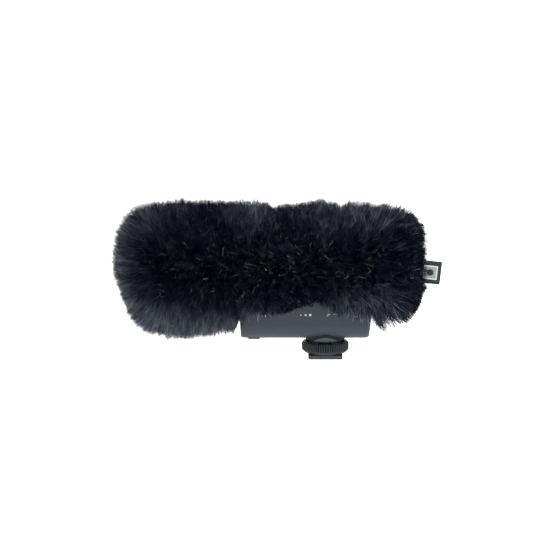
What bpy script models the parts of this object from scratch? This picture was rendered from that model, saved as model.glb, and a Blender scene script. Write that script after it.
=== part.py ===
"""Camera-top shotgun microphone wearing its furry windscreen.

Metres, +Z up. +X points to the rear of the microphone, -Y to the side with the controls.
The origin is the centre of the camera shoe foot's underside.
"""

import math

import bmesh
import bpy
from mathutils import Matrix, Vector

# ---------------------------------------------------------------- driving dimensions

GAP = 0.0003                # between pieces that touch
ROUND_STEPS = 24            # sides of the large turned pieces

# Shoe mount
FOOT_SIDE = 0.0186
FOOT_THICK = 0.0020
FOOT_CORNER = 0.0012
THREAD_PITCH = 0.0010
STUD_R = 0.0046
STUD_FLAT = 0.0038          # half the width across the two key flats
SHANK_R = 0.0034
WHEEL_R = 0.01285
WHEEL_BOTTOM_Z = 0.0026
WHEEL_TOP_Z = 0.0088
WHEEL_TEETH = 48
KNURL_DEPTH = 0.00045
RECESS_R = 0.0109           # recess in the wheel's top that takes the boss
RECESS_Z = 0.0069
HUB_R = 0.0084
BOSS_R = 0.0104
BOSS_BOTTOM_Z = 0.0093
BOSS_TOP_Z = 0.0136

# Control housing
BOTTOM_Z = 0.0113
TOP_Z = 0.0330
HALF_WIDTH = 0.0125
BELLY_R = 0.0075            # rounding of the underside, seen end on
FRONT_X = -0.0462           # at the underside
REAR_X = 0.0236
FRONT_LEAN = 0.035          # the ends spread upwards
REAR_LEAN = 0.096
WALL = 0.0015
CORNER_R = 0.0030
CONTROL_Z = 0.0310          # height of the row of controls
FACE_Y = -HALF_WIDTH

# Controls along the housing
VOLUME_X = -0.0338
SENSITIVITY_X = -0.0110
LOW_CUT_X = 0.0034
LIGHT_X = 0.0104
POWER_X = 0.0162
SENSITIVITY_TRAVEL = 0.0025
LOW_CUT_TRAVEL = 0.0028
KNOB_HALF_LENGTH = 0.0014
KNOB_HALF_HEIGHT = 0.0008
SWITCH_BACK_Y = -0.0086

# Saddle, boards and sockets
POST_X = (-0.0436, 0.0222)
POST_Y = 0.0094
LEAD_X = 0.0140
SOCKET_Y = (-0.0055, 0.0055)
SOCKET_Z = 0.0205

# Battery bay and its door
CELL_R = 0.00525
CELL_LENGTH = 0.0445
CELL_Y = 0.00545
CELL_Z = 0.0200
DOOR_X = (-0.0420, 0.0040)
DOOR_Z = (0.0150, 0.0255)
HINGE_Y = 0.0112
HINGE_Z = 0.0147
BARREL_X = (-0.0357, -0.0173)   # the door's own knuckle
KNUCKLE_X = ((-0.0440, -0.0360), (-0.0170, -0.0114))   # the housing's, either side of it
BARREL_R = 0.0012
PIN_R = 0.0005

# Basket
AXIS_Z = 0.0483
BASKET_R = 0.0182
NOSE_X = -0.0820            # where the front dome starts
NOSE_LENGTH = 0.0170
TAIL_X = 0.0170             # where the rear dome starts
TAIL_LENGTH = 0.0100
GRILLE_THICK = 0.0009
SPINE_HALF = 0.0012
SPINE_DEPTH = 0.0023
SADDLE_Z = (0.0333, 0.0353)
BASKET_CUT_Z = 0.0356       # the basket is open below this, above the housing
BASKET_CUT_X = -0.0479
SUSPENSION_X = (-0.0720, -0.0120)
HOOP_X = (-0.0400, 0.0115)
HOOP_WIDTH = 0.0030
SUSPENSION_R = 0.0124
TUBE_R = 0.0060
TUBE_X = (-0.0870, -0.0080)

# Windscreen
LINING_CLEAR = 0.0007       # lining to basket
LINING_THICK = 0.0010
FUR_CLEAR = 0.0021          # fur backing to basket
FUR_R = 0.0340
FUR_NOSE_LENGTH = 0.0300
SEAM_X = -0.0300
FUR_REAR_X = 0.0440
SLIT_X = -0.0495
SLIT_HALF = 0.0150
FUR_HEM_Z = 0.0300
HEM_X = 0.0460
HEM_Y = 0.0166
HEM_Z = 0.0288
HEM_R = 0.0009
ARCH_X = (-0.0220, -0.0010, 0.0020, 0.0125)  # the slit's edge lifts over the slide knobs
ARCH_RISE = 0.0072
ARCH_SPREAD = 0.0010
LABEL_X = (0.0481, 0.0611)
LABEL_Y = -0.0246
LABEL_Z = 0.0508
LABEL_HEIGHT = 0.0125
LABEL_TILT = math.radians(6)

COLOURS = {
    # name: (colour, roughness, metallic)
    "fur": ((0.010, 0.011, 0.014), 0.95, 0.0),
    "felt": ((0.030, 0.030, 0.033), 0.95, 0.0),
    "elastic": ((0.015, 0.015, 0.016), 0.85, 0.0),
    "label": ((0.030, 0.032, 0.035), 0.80, 0.0),
    "shell": ((0.060, 0.072, 0.086), 0.55, 0.0),
    "grille": ((0.040, 0.042, 0.046), 0.45, 0.8),
    "plastic": ((0.035, 0.037, 0.041), 0.60, 0.0),
    "foam": ((0.055, 0.055, 0.060), 0.95, 0.0),
    "elastomer": ((0.020, 0.020, 0.022), 0.80, 0.0),
    "aluminium": ((0.500, 0.510, 0.530), 0.35, 1.0),
    "brass": ((0.720, 0.560, 0.280), 0.35, 1.0),
    "nickel": ((0.650, 0.640, 0.610), 0.30, 1.0),
    "steel": ((0.550, 0.550, 0.560), 0.30, 1.0),
    "foot": ((0.045, 0.048, 0.053), 0.40, 0.9),
    "wheel": ((0.040, 0.043, 0.048), 0.50, 0.2),
    "board": ((0.020, 0.110, 0.060), 0.50, 0.0),
    "cell": ((0.100, 0.180, 0.300), 0.35, 0.4),
    "window": ((0.300, 0.700, 0.350), 0.20, 0.0),
    "insulation": ((0.020, 0.020, 0.020), 0.50, 0.0),
}


# ---------------------------------------------------------------- helpers

def clear_scene():
    for obj in list(bpy.data.objects):
        bpy.data.objects.remove(obj, do_unlink=True)


def make_materials():
    materials = {}
    for name, (colour, roughness, metallic) in COLOURS.items():
        material = bpy.data.materials.new(name)
        material.use_nodes = True
        shader = material.node_tree.nodes["Principled BSDF"]
        shader.inputs["Base Color"].default_value = (*colour, 1.0)
        shader.inputs["Roughness"].default_value = roughness
        shader.inputs["Metallic"].default_value = metallic
        material.diffuse_color = (*colour, 1.0)
        materials[name] = material
    return materials


def on_axis(axis, centre):
    """Returns a function that places (radius, angle, height) round an axis through centre."""
    cx, cy, cz = centre

    def place(radius, angle, height):
        a = radius * math.cos(angle)
        b = radius * math.sin(angle)
        if axis == "X":
            return (cx + height, cy + b, cz - a)
        if axis == "Y":
            return (cx + a, cy + height, cz + b)
        return (cx + a, cy + b, cz + height)

    return place


def bridge(bm, first, second):
    """Joins two rings of points, either of which may be a single point."""
    count = max(len(first), len(second))
    for i in range(count):
        j = (i + 1) % count
        if len(first) == 1:
            bm.faces.new((first[0], second[j], second[i]))
        elif len(second) == 1:
            bm.faces.new((first[i], first[j], second[0]))
        else:
            bm.faces.new((first[i], first[j], second[j], second[i]))


def add_turned(bm, profile, axis="Z", centre=(0, 0, 0), steps=ROUND_STEPS, phase=0.0):
    """Turns (radius, height) points about an axis. A profile off the axis closes on itself."""
    place = on_axis(axis, centre)
    rings = []
    for radius, height in profile:
        if radius < 1e-9:
            rings.append([bm.verts.new(place(0, 0, height))])
            continue
        turn = [phase + 2 * math.pi * k / steps for k in range(steps)]
        rings.append([bm.verts.new(place(radius, angle, height)) for angle in turn])
    for first, second in zip(rings, rings[1:]):
        bridge(bm, first, second)
    if len(rings[0]) > 1 and len(rings[-1]) > 1:
        bridge(bm, rings[-1], rings[0])


def add_cylinder(bm, radius, low, high, axis="Z", centre=(0, 0, 0), steps=ROUND_STEPS):
    profile = [(0, low), (radius, low), (radius, high), (0, high)]
    add_turned(bm, profile, axis, centre, steps, phase=math.pi / steps)


def add_box(bm, low, high):
    size = [high[i] - low[i] for i in range(3)]
    middle = [(high[i] + low[i]) / 2 for i in range(3)]
    matrix = Matrix.Translation(middle) @ Matrix.Diagonal((*size, 1.0))
    bmesh.ops.create_cube(bm, size=1.0, matrix=matrix)


def add_loft(bm, sections):
    """Skins a list of rings with the same number of points and caps both ends."""
    rings = [[bm.verts.new(point) for point in section] for section in sections]
    for first, second in zip(rings, rings[1:]):
        bridge(bm, first, second)
    bm.faces.new(rings[0])
    bm.faces.new(rings[-1])


def add_prism(bm, outline, axis, low, high):
    """Extrudes an outline from low to high along an axis."""
    def lift(point, level):
        a, b = point
        return {"X": (level, a, b), "Y": (a, level, b), "Z": (a, b, level)}[axis]

    add_loft(bm, [[lift(p, level) for p in outline] for level in (low, high)])


def rounded_rectangle(x0, x1, y0, y1, corner, steps):
    """Outline points, counter-clockwise from the +x side."""
    points = []
    centres = (
        (x1 - corner, y1 - corner),
        (x0 + corner, y1 - corner),
        (x0 + corner, y0 + corner),
        (x1 - corner, y0 + corner),
    )
    for quarter, (cx, cy) in enumerate(centres):
        for k in range(steps + 1):
            angle = math.pi / 2 * (quarter + k / steps)
            points.append((cx + corner * math.cos(angle), cy + corner * math.sin(angle)))
    return points


def finish_mesh(bm, name):
    bmesh.ops.recalc_face_normals(bm, faces=bm.faces)
    mesh = bpy.data.meshes.new(name)
    bm.to_mesh(mesh)
    bm.free()
    return mesh


def make(name, material, build, pivot=None):
    """Makes one named piece. build(bm) draws it; pivot is a point on its joint's axis."""
    bm = bmesh.new()
    build(bm)
    mesh = finish_mesh(bm, name)
    mesh.materials.append(MATERIALS[material])
    mesh.shade_smooth()
    mesh.set_sharp_from_angle(angle=math.radians(35))
    obj = bpy.data.objects.new(name, mesh)
    bpy.context.scene.collection.objects.link(obj)
    if pivot is not None:
        mesh.transform(Matrix.Translation(-Vector(pivot)))
        obj.location = pivot
    return obj


def combine(obj, operation, build):
    """Adds a Boolean modifier with its own guide object, drawn by build(bm)."""
    bm = bmesh.new()
    build(bm)
    name = f"{obj.name}.guide{len(obj.modifiers) + 1}"
    guide = bpy.data.objects.new(name, finish_mesh(bm, name))
    bpy.context.scene.collection.objects.link(guide)
    guide.hide_render = True
    guide.display_type = "WIRE"
    modifier = obj.modifiers.new(operation.title(), "BOOLEAN")
    modifier.operation = operation
    modifier.solver = "EXACT"
    modifier.object = guide


def ellipse_arc(centre, length, radius, start, end, steps):
    """(radius, height) points on an ellipse about the axis; angle 0 is the tip."""
    points = []
    for k in range(steps + 1):
        angle = math.radians(start + (end - start) * k / steps)
        r = radius * math.sin(angle)
        points.append((max(r, 0.0), centre - length * math.cos(angle)))
    return points


def basket_profile(offset, steps=4):
    """Outer line of the basket, grown by offset, from the front tip to the rear tip."""
    radius = BASKET_R + offset
    front = ellipse_arc(NOSE_X, NOSE_LENGTH + offset, radius, 0, 90, steps)
    rear = ellipse_arc(TAIL_X, -(TAIL_LENGTH + offset), radius, 90, 0, steps)
    return front + rear


def basket_axis():
    return (0.0, 0.0, AXIS_Z)


# ---------------------------------------------------------------- shoe mount

def make_shoe():
    def plate(bm):
        half = FOOT_SIDE / 2
        outline = rounded_rectangle(-half, half, -half, half, FOOT_CORNER, 3)
        add_prism(bm, outline, "Z", 0.0, FOOT_THICK)

    def stud(bm):
        # Ridges at the thread's pitch, then the plain shank that goes up into the housing.
        profile = [(0, FOOT_THICK / 2), (STUD_R, FOOT_THICK / 2)]
        z = FOOT_THICK + THREAD_PITCH / 2
        while z < BOSS_BOTTOM_Z - THREAD_PITCH:
            profile.append((STUD_R, z))
            profile.append((STUD_R - 0.0004, z + THREAD_PITCH / 2))
            z += THREAD_PITCH
        profile += [(STUD_R, z), (SHANK_R, z + 0.0003), (SHANK_R, 0.0142), (0, 0.0142)]
        add_turned(bm, profile, steps=16)

    def flats(bm):
        for side in (-1, 1):
            near = side * STUD_FLAT
            far = side * 0.0080
            low = (-0.0080, min(near, far), FOOT_THICK)
            high = (0.0080, max(near, far), BOSS_BOTTOM_Z)
            add_box(bm, low, high)

    foot = make("shoe_foot", "foot", plate)
    combine(foot, "UNION", stud)
    combine(foot, "DIFFERENCE", flats)

    def nut(bm):
        profile = [(SHANK_R + GAP, 0.0129), (0.0052, 0.0129), (0.0052, 0.0142), (SHANK_R + GAP, 0.0142)]
        add_turned(bm, profile, steps=12)

    make("stud_nut", "steel", nut)

    def boss(bm):
        bore = SHANK_R + GAP
        profile = [
            (bore, BOSS_BOTTOM_Z),
            (BOSS_R - 0.0010, BOSS_BOTTOM_Z),
            (BOSS_R - 0.0003, BOSS_BOTTOM_Z + 0.0003),
            (BOSS_R, BOSS_BOTTOM_Z + 0.0010),
            (BOSS_R, BOSS_TOP_Z),
            (0.0060, BOSS_TOP_Z),
            (0.0060, 0.0126),
            (bore, 0.0126),
        ]
        add_turned(bm, profile, steps=32)

    make("shoe_boss", "shell", boss)


def make_lock_wheel():
    def washer(bm):
        profile = [(0, 0.0025), (0.0076, 0.0025), (0.0080, 0.0029), (0.0080, 0.0036), (0, 0.0036)]
        add_turned(bm, profile)

    def keyhole(bm):
        radius = STUD_R + GAP
        flat = STUD_FLAT + GAP
        limit = math.asin(flat / radius)
        outline = []
        for start in (-limit, math.pi - limit):
            for k in range(7):
                angle = start + 2 * limit * k / 6
                outline.append((radius * math.cos(angle), radius * math.sin(angle)))
        add_prism(bm, outline, "Z", 0.0015, 0.0045)

    plate = make("clamp_washer", "elastomer", washer, pivot=(0, 0, 0.0030))
    combine(plate, "DIFFERENCE", keyhole)

    def hub(bm):
        bore = STUD_R + GAP
        profile = [(bore, 0.0039), (HUB_R, 0.0039), (HUB_R, 0.0066), (bore, 0.0066)]
        add_turned(bm, profile)

    make("wheel_hub", "brass", hub, pivot=(0, 0, 0.0030))

    def rim(bm):
        # Eight rings round the section; the two knurl rings alternate between crest and root.
        inner = HUB_R + GAP
        section = [
            (inner, WHEEL_BOTTOM_Z, False),
            (0.0107, WHEEL_BOTTOM_Z, False),
            (WHEEL_R, 0.0043, True),
            (WHEEL_R, 0.0082, True),
            (0.0121, WHEEL_TOP_Z, False),
            (RECESS_R, WHEEL_TOP_Z, False),
            (RECESS_R, RECESS_Z, False),
            (inner, RECESS_Z, False),
        ]
        count = 2 * WHEEL_TEETH
        rings = []
        for radius, z, knurled in section:
            ring = []
            for k in range(count):
                angle = 2 * math.pi * k / count
                r = radius - KNURL_DEPTH * (k % 2) if knurled else radius
                ring.append(bm.verts.new((r * math.cos(angle), r * math.sin(angle), z)))
            rings.append(ring)
        for first, second in zip(rings, rings[1:] + rings[:1]):
            bridge(bm, first, second)

    make("wheel_rim", "wheel", rim, pivot=(0, 0, 0.0030))


# ---------------------------------------------------------------- control housing

def housing_sections(inset, top):
    """Horizontal rounded outlines of the housing from its flat underside to the top."""
    belly = BELLY_R - inset
    belly_z = BOTTOM_Z + BELLY_R
    levels = []
    steps = 6
    for k in range(steps + 1):
        angle = math.pi / 2 * k / steps
        half = HALF_WIDTH - BELLY_R + belly * math.sin(angle)
        levels.append((belly_z - belly * math.cos(angle), half))
    levels.append((top, HALF_WIDTH - inset))
    sections = []
    for z, half in levels:
        rise = z - BOTTOM_Z
        ease = max(0.0, 0.0006 - rise) * 0.8
        x0 = FRONT_X - FRONT_LEAN * rise + inset + ease
        x1 = REAR_X + REAR_LEAN * rise - inset - ease
        corner = CORNER_R - inset
        outline = rounded_rectangle(x0, x1, -half, half, corner, 4)
        sections.append([(x, y, z) for x, y in outline])
    return sections


POST_CENTRES = [(x, y) for x in POST_X for y in (POST_Y, -POST_Y)]


def make_housing():
    def outer(bm):
        add_loft(bm, housing_sections(0.0, TOP_Z))

    def inner(bm):
        add_loft(bm, housing_sections(WALL, TOP_Z + 0.0010))

    def posts(bm):
        for x, y in POST_CENTRES:
            add_cylinder(bm, 0.0022, 0.0272, TOP_Z - 0.0002, centre=(x, y, 0), steps=12)

    def boss_pocket(bm):
        add_cylinder(bm, BOSS_R + GAP, 0.0080, BOSS_TOP_Z + GAP, steps=32)

    def openings(bm):
        tall = KNOB_HALF_HEIGHT + GAP
        reach = KNOB_HALF_LENGTH + GAP
        low_y, high_y = FACE_Y - 0.0010, FACE_Y + WALL + 0.0005
        slots = (
            (SENSITIVITY_X, SENSITIVITY_TRAVEL + reach, tall),
            (LOW_CUT_X, LOW_CUT_TRAVEL / 2 + reach, tall),
            (VOLUME_X, 0.0049, 0.0014),
        )
        for x, half_x, half_z in slots:
            low = (x - half_x, low_y, CONTROL_Z - half_z)
            add_box(bm, low, (x + half_x, high_y, CONTROL_Z + half_z))
        for x, radius in ((POWER_X, 0.0017), (LIGHT_X, 0.0011)):
            add_cylinder(bm, radius, low_y, high_y, "Y", (x, 0, CONTROL_Z), 16)
        for y in SOCKET_Y:
            add_cylinder(bm, 0.0032, 0.0215, 0.0270, "X", (0, y, SOCKET_Z), 16)
        x0, x1 = DOOR_X
        z0, z1 = DOOR_Z
        add_box(bm, (x0 - GAP, 0.0085, z0 - GAP), (x1 + GAP, 0.0140, z1 + GAP))

    def barrel_groove(bm):
        add_hinge_rod(bm, BARREL_R + GAP, BARREL_X[0] - GAP, BARREL_X[1] + GAP, 12)

    def knuckles(bm):
        for x0, x1 in KNUCKLE_X:
            add_hinge_rod(bm, BARREL_R, x0, x1, 12)

    def bores(bm):
        for x, y in POST_CENTRES:
            add_cylinder(bm, 0.0012, 0.0280, TOP_Z + 0.0010, centre=(x, y, 0), steps=8)
        add_hinge_rod(bm, PIN_R + GAP, KNUCKLE_X[0][0] - 0.0010, KNUCKLE_X[1][1] + 0.0004, 8)

    housing = make("housing_shell", "shell", outer)
    combine(housing, "DIFFERENCE", inner)
    combine(housing, "UNION", posts)
    combine(housing, "DIFFERENCE", boss_pocket)
    combine(housing, "DIFFERENCE", openings)
    combine(housing, "DIFFERENCE", barrel_groove)
    combine(housing, "UNION", knuckles)
    combine(housing, "DIFFERENCE", bores)


def add_hinge_rod(bm, radius, low, high, steps):
    add_cylinder(bm, radius, low, high, "X", (0, HINGE_Y, HINGE_Z), steps)


def make_battery_door():
    def outer(bm):
        add_loft(bm, housing_sections(0.0, TOP_Z))

    def inner(bm):
        add_loft(bm, housing_sections(WALL, TOP_Z + 0.0010))

    def window(bm):
        add_box(bm, (DOOR_X[0], 0.0085, DOOR_Z[0]), (DOOR_X[1], 0.0140, DOOR_Z[1]))

    def knuckle_room(bm):
        for x0, x1 in KNUCKLE_X:
            add_hinge_rod(bm, BARREL_R + GAP, x0 - GAP, x1 + GAP, 12)

    def barrel(bm):
        add_hinge_rod(bm, BARREL_R, BARREL_X[0], BARREL_X[1], 12)

    def bore(bm):
        add_hinge_rod(bm, PIN_R + GAP, BARREL_X[0] - 0.0010, BARREL_X[1] + 0.0010, 8)

    door = make("battery_door", "shell", outer, pivot=(0, HINGE_Y, HINGE_Z))
    combine(door, "DIFFERENCE", inner)
    combine(door, "INTERSECT", window)
    combine(door, "DIFFERENCE", knuckle_room)
    combine(door, "UNION", barrel)
    combine(door, "DIFFERENCE", bore)

    def pin(bm):
        add_hinge_rod(bm, PIN_R, KNUCKLE_X[0][0] + 0.0005, KNUCKLE_X[1][1] - 0.0005, 8)

    make("door_hinge_pin", "steel", pin)


def make_saddle():
    def plate(bm):
        low, high = SADDLE_Z
        sections = []
        for z, inset in ((low, 0.0004), (low + 0.0004, 0.0), (high - 0.0004, 0.0), (high, 0.0004)):
            x0, x1, half = -0.0469 + inset, 0.0256 - inset, 0.0130 - inset
            outline = rounded_rectangle(x0, x1, -half, half, CORNER_R, 4)
            sections.append([(x, y, z) for x, y in outline])
        add_loft(bm, sections)

    def holes(bm):
        for x, y in POST_CENTRES:
            profile = [
                (0, 0.0325),
                (0.0013, 0.0325),
                (0.0013, 0.0342),
                (0.0021, 0.0342),
                (0.0021, 0.0360),
                (0, 0.0360),
            ]
            add_turned(bm, profile, centre=(x, y, 0), steps=12)
        add_cylinder(bm, 0.0020, 0.0325, 0.0360, centre=(LEAD_X, 0, 0), steps=12)

    saddle = make("saddle_plate", "shell", plate)
    combine(saddle, "DIFFERENCE", holes)

    for number, (x, y) in enumerate(POST_CENTRES, start=1):
        def screw(bm, x=x, y=y):
            profile = [
                (0, 0.0284),
                (0.0010, 0.0284),
                (0.0010, 0.0345),
                (0.0018, 0.0345),
                (0.0018, 0.0352),
                (0, 0.0352),
            ]
            add_turned(bm, profile, centre=(x, y, 0), steps=10)

        make(f"saddle_screw_{number}", "steel", screw)


# ---------------------------------------------------------------- controls and boards

def add_stepped(bm, x, steps):
    """A rectangular stepped block along Y: (y, half length, half height) for each step."""
    sections = []
    for y, half_x, half_z in steps:
        corners = ((-half_x, -half_z), (half_x, -half_z), (half_x, half_z), (-half_x, half_z))
        sections.append([(x + a, y, CONTROL_Z + b) for a, b in corners])
    add_loft(bm, sections)


def add_switch_body(bm, x, half_length, half_height, face_y):
    """A switch body on the control board, its front at face_y."""
    low = (x - half_length, face_y, CONTROL_Z - half_height)
    add_box(bm, low, (x + half_length, SWITCH_BACK_Y, CONTROL_Z + half_height))


def make_slide_switch(name, x, rest_x):
    def knob(bm):
        add_stepped(bm, rest_x, (
            (FACE_Y - 0.0009, KNOB_HALF_LENGTH - 0.0002, KNOB_HALF_HEIGHT - 0.0002),
            (FACE_Y - 0.0006, KNOB_HALF_LENGTH, KNOB_HALF_HEIGHT),
            (-0.0107, KNOB_HALF_LENGTH, KNOB_HALF_HEIGHT),
            (-0.0107, 0.0032, 0.0015),
            (-0.0103, 0.0032, 0.0015),
        ))

    def body(bm):
        add_switch_body(bm, x, 0.0042, 0.0016, -0.0100)

    make(f"{name}_knob", "plastic", knob, pivot=(rest_x, -0.0110, CONTROL_Z))
    make(f"{name}_switch", "nickel", body)


def make_volume_rocker():
    def rocker(bm):
        add_stepped(bm, VOLUME_X, (
            (FACE_Y - 0.0008, 0.0039, 0.0007),
            (FACE_Y - 0.0004, 0.0045, 0.0011),
            (-0.0113, 0.0045, 0.0011),
        ))

    make("volume_rocker", "plastic", rocker, pivot=(VOLUME_X, -0.0116, CONTROL_Z))
    for name, offset in (("volume_down_switch", -0.0030), ("volume_up_switch", 0.0030)):
        def body(bm, x=VOLUME_X + offset):
            add_switch_body(bm, x, 0.0016, 0.0016, -0.0104)

        make(name, "nickel", body)


def make_power_button():
    def button(bm):
        profile = [
            (0, FACE_Y - 0.0006),
            (0.0011, FACE_Y - 0.0006),
            (0.0014, FACE_Y - 0.0003),
            (0.0014, -0.0107),
            (0.0020, -0.0107),
            (0.0020, -0.0104),
            (0, -0.0104),
        ]
        add_turned(bm, profile, "Y", (POWER_X, 0, CONTROL_Z), 16)

    def body(bm):
        add_switch_body(bm, POWER_X, 0.0024, 0.0017, -0.0096)

    def light(bm):
        add_cylinder(bm, 0.0008, FACE_Y - 0.0001, SWITCH_BACK_Y, "Y", (LIGHT_X, 0, CONTROL_Z), 12)

    make("power_button", "plastic", button, pivot=(POWER_X, -0.0110, CONTROL_Z))
    make("power_switch", "nickel", body)
    make("status_light_pipe", "window", light)


def make_boards():
    def control(bm):
        add_box(bm, (-0.0410, -0.0083, 0.0269), (0.0197, -0.0073, 0.0328))

    def main(bm):
        add_box(bm, (-0.0410, -0.0068, 0.0272), (0.0197, 0.0104, 0.0282))

    make("control_board", "board", control)
    make("main_board", "board", main)


def make_sockets():
    for name, y in zip(("output_socket", "headphone_socket"), SOCKET_Y):
        def body(bm, y=y):
            add_box(bm, (0.0105, y - 0.0034, SOCKET_Z - 0.0036), (0.0226, y + 0.0034, SOCKET_Z + 0.0036))

        def nose(bm, y=y):
            add_cylinder(bm, 0.0029, 0.0200, 0.0243, "X", (0, y, SOCKET_Z), 16)

        def bore(bm, y=y):
            add_cylinder(bm, 0.00178, 0.0120, 0.0260, "X", (0, y, SOCKET_Z), 12)

        socket = make(name, "insulation", body)
        combine(socket, "UNION", nose)
        combine(socket, "DIFFERENCE", bore)


# ---------------------------------------------------------------- battery bay

def make_cells():
    nub = 0.0008
    ends = (("battery_near", -CELL_Y, -0.0396, 1), ("battery_far", CELL_Y, 0.0019, -1))
    for name, y, flat_end, towards in ends:
        def cell(bm, y=y, flat_end=flat_end, towards=towards):
            body = CELL_LENGTH - nub
            profile = [
                (0, 0),
                (CELL_R - 0.0005, 0),
                (CELL_R, 0.0005),
                (CELL_R, body - 0.0005),
                (CELL_R - 0.0005, body),
                (0.0019, body),
                (0.0019, CELL_LENGTH),
                (0, CELL_LENGTH),
            ]
            turned = [(r, flat_end + towards * h) for r, h in profile]
            add_turned(bm, turned, "X", (0, y, CELL_Z), 20)

        make(name, "cell", cell)


def make_tray():
    front, rear = -0.0444, 0.0067
    wall = 0.0008

    def tray(bm):
        outline = [
            (front, 0.0266),
            (front, 0.0172),
            (front + wall, 0.0172),
            (front + wall, 0.0257),
            (rear - wall, 0.0257),
            (rear - wall, 0.0172),
            (rear, 0.0172),
            (rear, 0.0266),
        ]
        add_prism(bm, outline, "Y", -0.0104, 0.0104)

    make("battery_tray", "plastic", tray)

    plates = (
        ("contact_front", -0.0433, -0.0093, 0.0093),
        ("contact_rear_near", 0.0052, -0.0093, -0.0010),
        ("contact_rear_far", 0.0052, 0.0010, 0.0093),
    )
    for name, x, y0, y1 in plates:
        def plate(bm, x=x, y0=y0, y1=y1):
            add_box(bm, (x, y0, 0.0176), (x + 0.0004, y1, 0.0224))

        make(name, "nickel", plate)


def make_spring(name, y, start, end):
    """Conical contact spring, wide at start, drawn as a wire round a helix."""
    turns, per_turn = 3, 8
    wire = 0.00025
    count = turns * per_turn
    length = end - start
    curve = bpy.data.curves.new(name, "CURVE")
    curve.dimensions = "3D"
    curve.bevel_depth = wire
    curve.bevel_resolution = 1
    curve.use_fill_caps = True
    spline = curve.splines.new("POLY")
    spline.points.add(count)
    for k in range(count + 1):
        part = k / count
        angle = 2 * math.pi * k / per_turn
        radius = 0.0038 - 0.0018 * part
        x = start + length * (0.1 + 0.8 * part)
        point = (x, y + radius * math.cos(angle), CELL_Z + radius * math.sin(angle), 1.0)
        spline.points[k].co = point
    curve.materials.append(MATERIALS["steel"])
    obj = bpy.data.objects.new(name, curve)
    bpy.context.scene.collection.objects.link(obj)


# ---------------------------------------------------------------- basket and capsule

def below_basket(bm):
    """The space under the basket that the saddle and the housing take."""
    add_box(bm, (BASKET_CUT_X, -0.0300, 0.0200), (0.0320, 0.0300, BASKET_CUT_Z))


def make_grilles():
    for name, side in (("grille_near", -1), ("grille_far", 1)):
        def outer(bm):
            add_turned(bm, basket_profile(0.0), "X", basket_axis())

        def inner(bm):
            add_turned(bm, basket_profile(-GRILLE_THICK), "X", basket_axis())

        def other_half(bm, side=side):
            edge = side * (SPINE_HALF + GAP)
            low_y, high_y = sorted((edge, -side * 0.0400))
            add_box(bm, (-0.1100, low_y, 0.0200), (0.0400, high_y, 0.0800))

        grille = make(name, "grille", outer)
        combine(grille, "DIFFERENCE", inner)
        combine(grille, "DIFFERENCE", other_half)
        combine(grille, "DIFFERENCE", below_basket)


def make_frame():
    def spine(bm):
        # A flat band that follows the basket's outline right round in the middle plane.
        def outline(offset):
            line = basket_profile(offset)
            upper = [(x, AXIS_Z + r) for r, x in line]
            lower = [(x, AXIS_Z - r) for r, x in line[1:-1]]
            return upper + lower[::-1]

        outer, inner = outline(0.0), outline(-SPINE_DEPTH)
        rings = []
        for points, side in ((outer, -1), (outer, 1), (inner, 1), (inner, -1)):
            rings.append([bm.verts.new((x, side * SPINE_HALF, z)) for x, z in points])
        for first, second in zip(rings, rings[1:] + rings[:1]):
            bridge(bm, first, second)

    def hoops(bm):
        outer = BASKET_R - GRILLE_THICK - GAP
        for positions, inner in ((SUSPENSION_X, SUSPENSION_R + GAP), (HOOP_X, 0.0159)):
            for x in positions:
                low, high = x - HOOP_WIDTH / 2, x + HOOP_WIDTH / 2
                profile = [(inner, low), (outer, low), (outer, high), (inner, high)]
                add_turned(bm, profile, "X", basket_axis())

    frame = make("basket_frame", "plastic", spine)
    combine(frame, "UNION", hoops)
    combine(frame, "DIFFERENCE", below_basket)


def make_foam():
    stretches = (
        ("foam_front", NOSE_X + GAP, SUSPENSION_X[0] - HOOP_WIDTH / 2 - GAP),
        ("foam_middle", SUSPENSION_X[0] + HOOP_WIDTH / 2 + GAP, SUSPENSION_X[1] - HOOP_WIDTH / 2 - GAP),
        ("foam_rear", SUSPENSION_X[1] + HOOP_WIDTH / 2 + GAP, 0.0095),
    )
    for name, low, high in stretches:
        def ring(bm, low=low, high=high):
            profile = [(0.0144, low), (0.0156, low), (0.0156, high), (0.0144, high)]
            add_turned(bm, profile, "X", basket_axis())

        foam = make(name, "foam", ring)
        if high > BASKET_CUT_X:
            combine(foam, "DIFFERENCE", below_basket)


def make_suspension():
    for name, x in zip(("suspension_front", "suspension_rear"), SUSPENSION_X):
        low, high = x - 0.0012, x + 0.0012

        def ring(bm, low=low, high=high):
            bore = TUBE_R + GAP
            profile = [(bore, low), (SUSPENSION_R, low), (SUSPENSION_R, high), (bore, high)]
            add_turned(bm, profile, "X", basket_axis(), 20)

        def windows(bm, low=low, high=high):
            for arm in range(4):
                outline = []
                for radius, order in ((0.0076, 1), (0.0112, -1)):
                    for k in range(4)[::order]:
                        angle = math.radians(90 * arm + 12 + 66 * k / 3)
                        outline.append((radius * math.cos(angle), AXIS_Z + radius * math.sin(angle)))
                add_prism(bm, outline, "X", low - 0.0010, high + 0.0010)

        mount = make(name, "elastomer", ring)
        combine(mount, "DIFFERENCE", windows)


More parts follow.
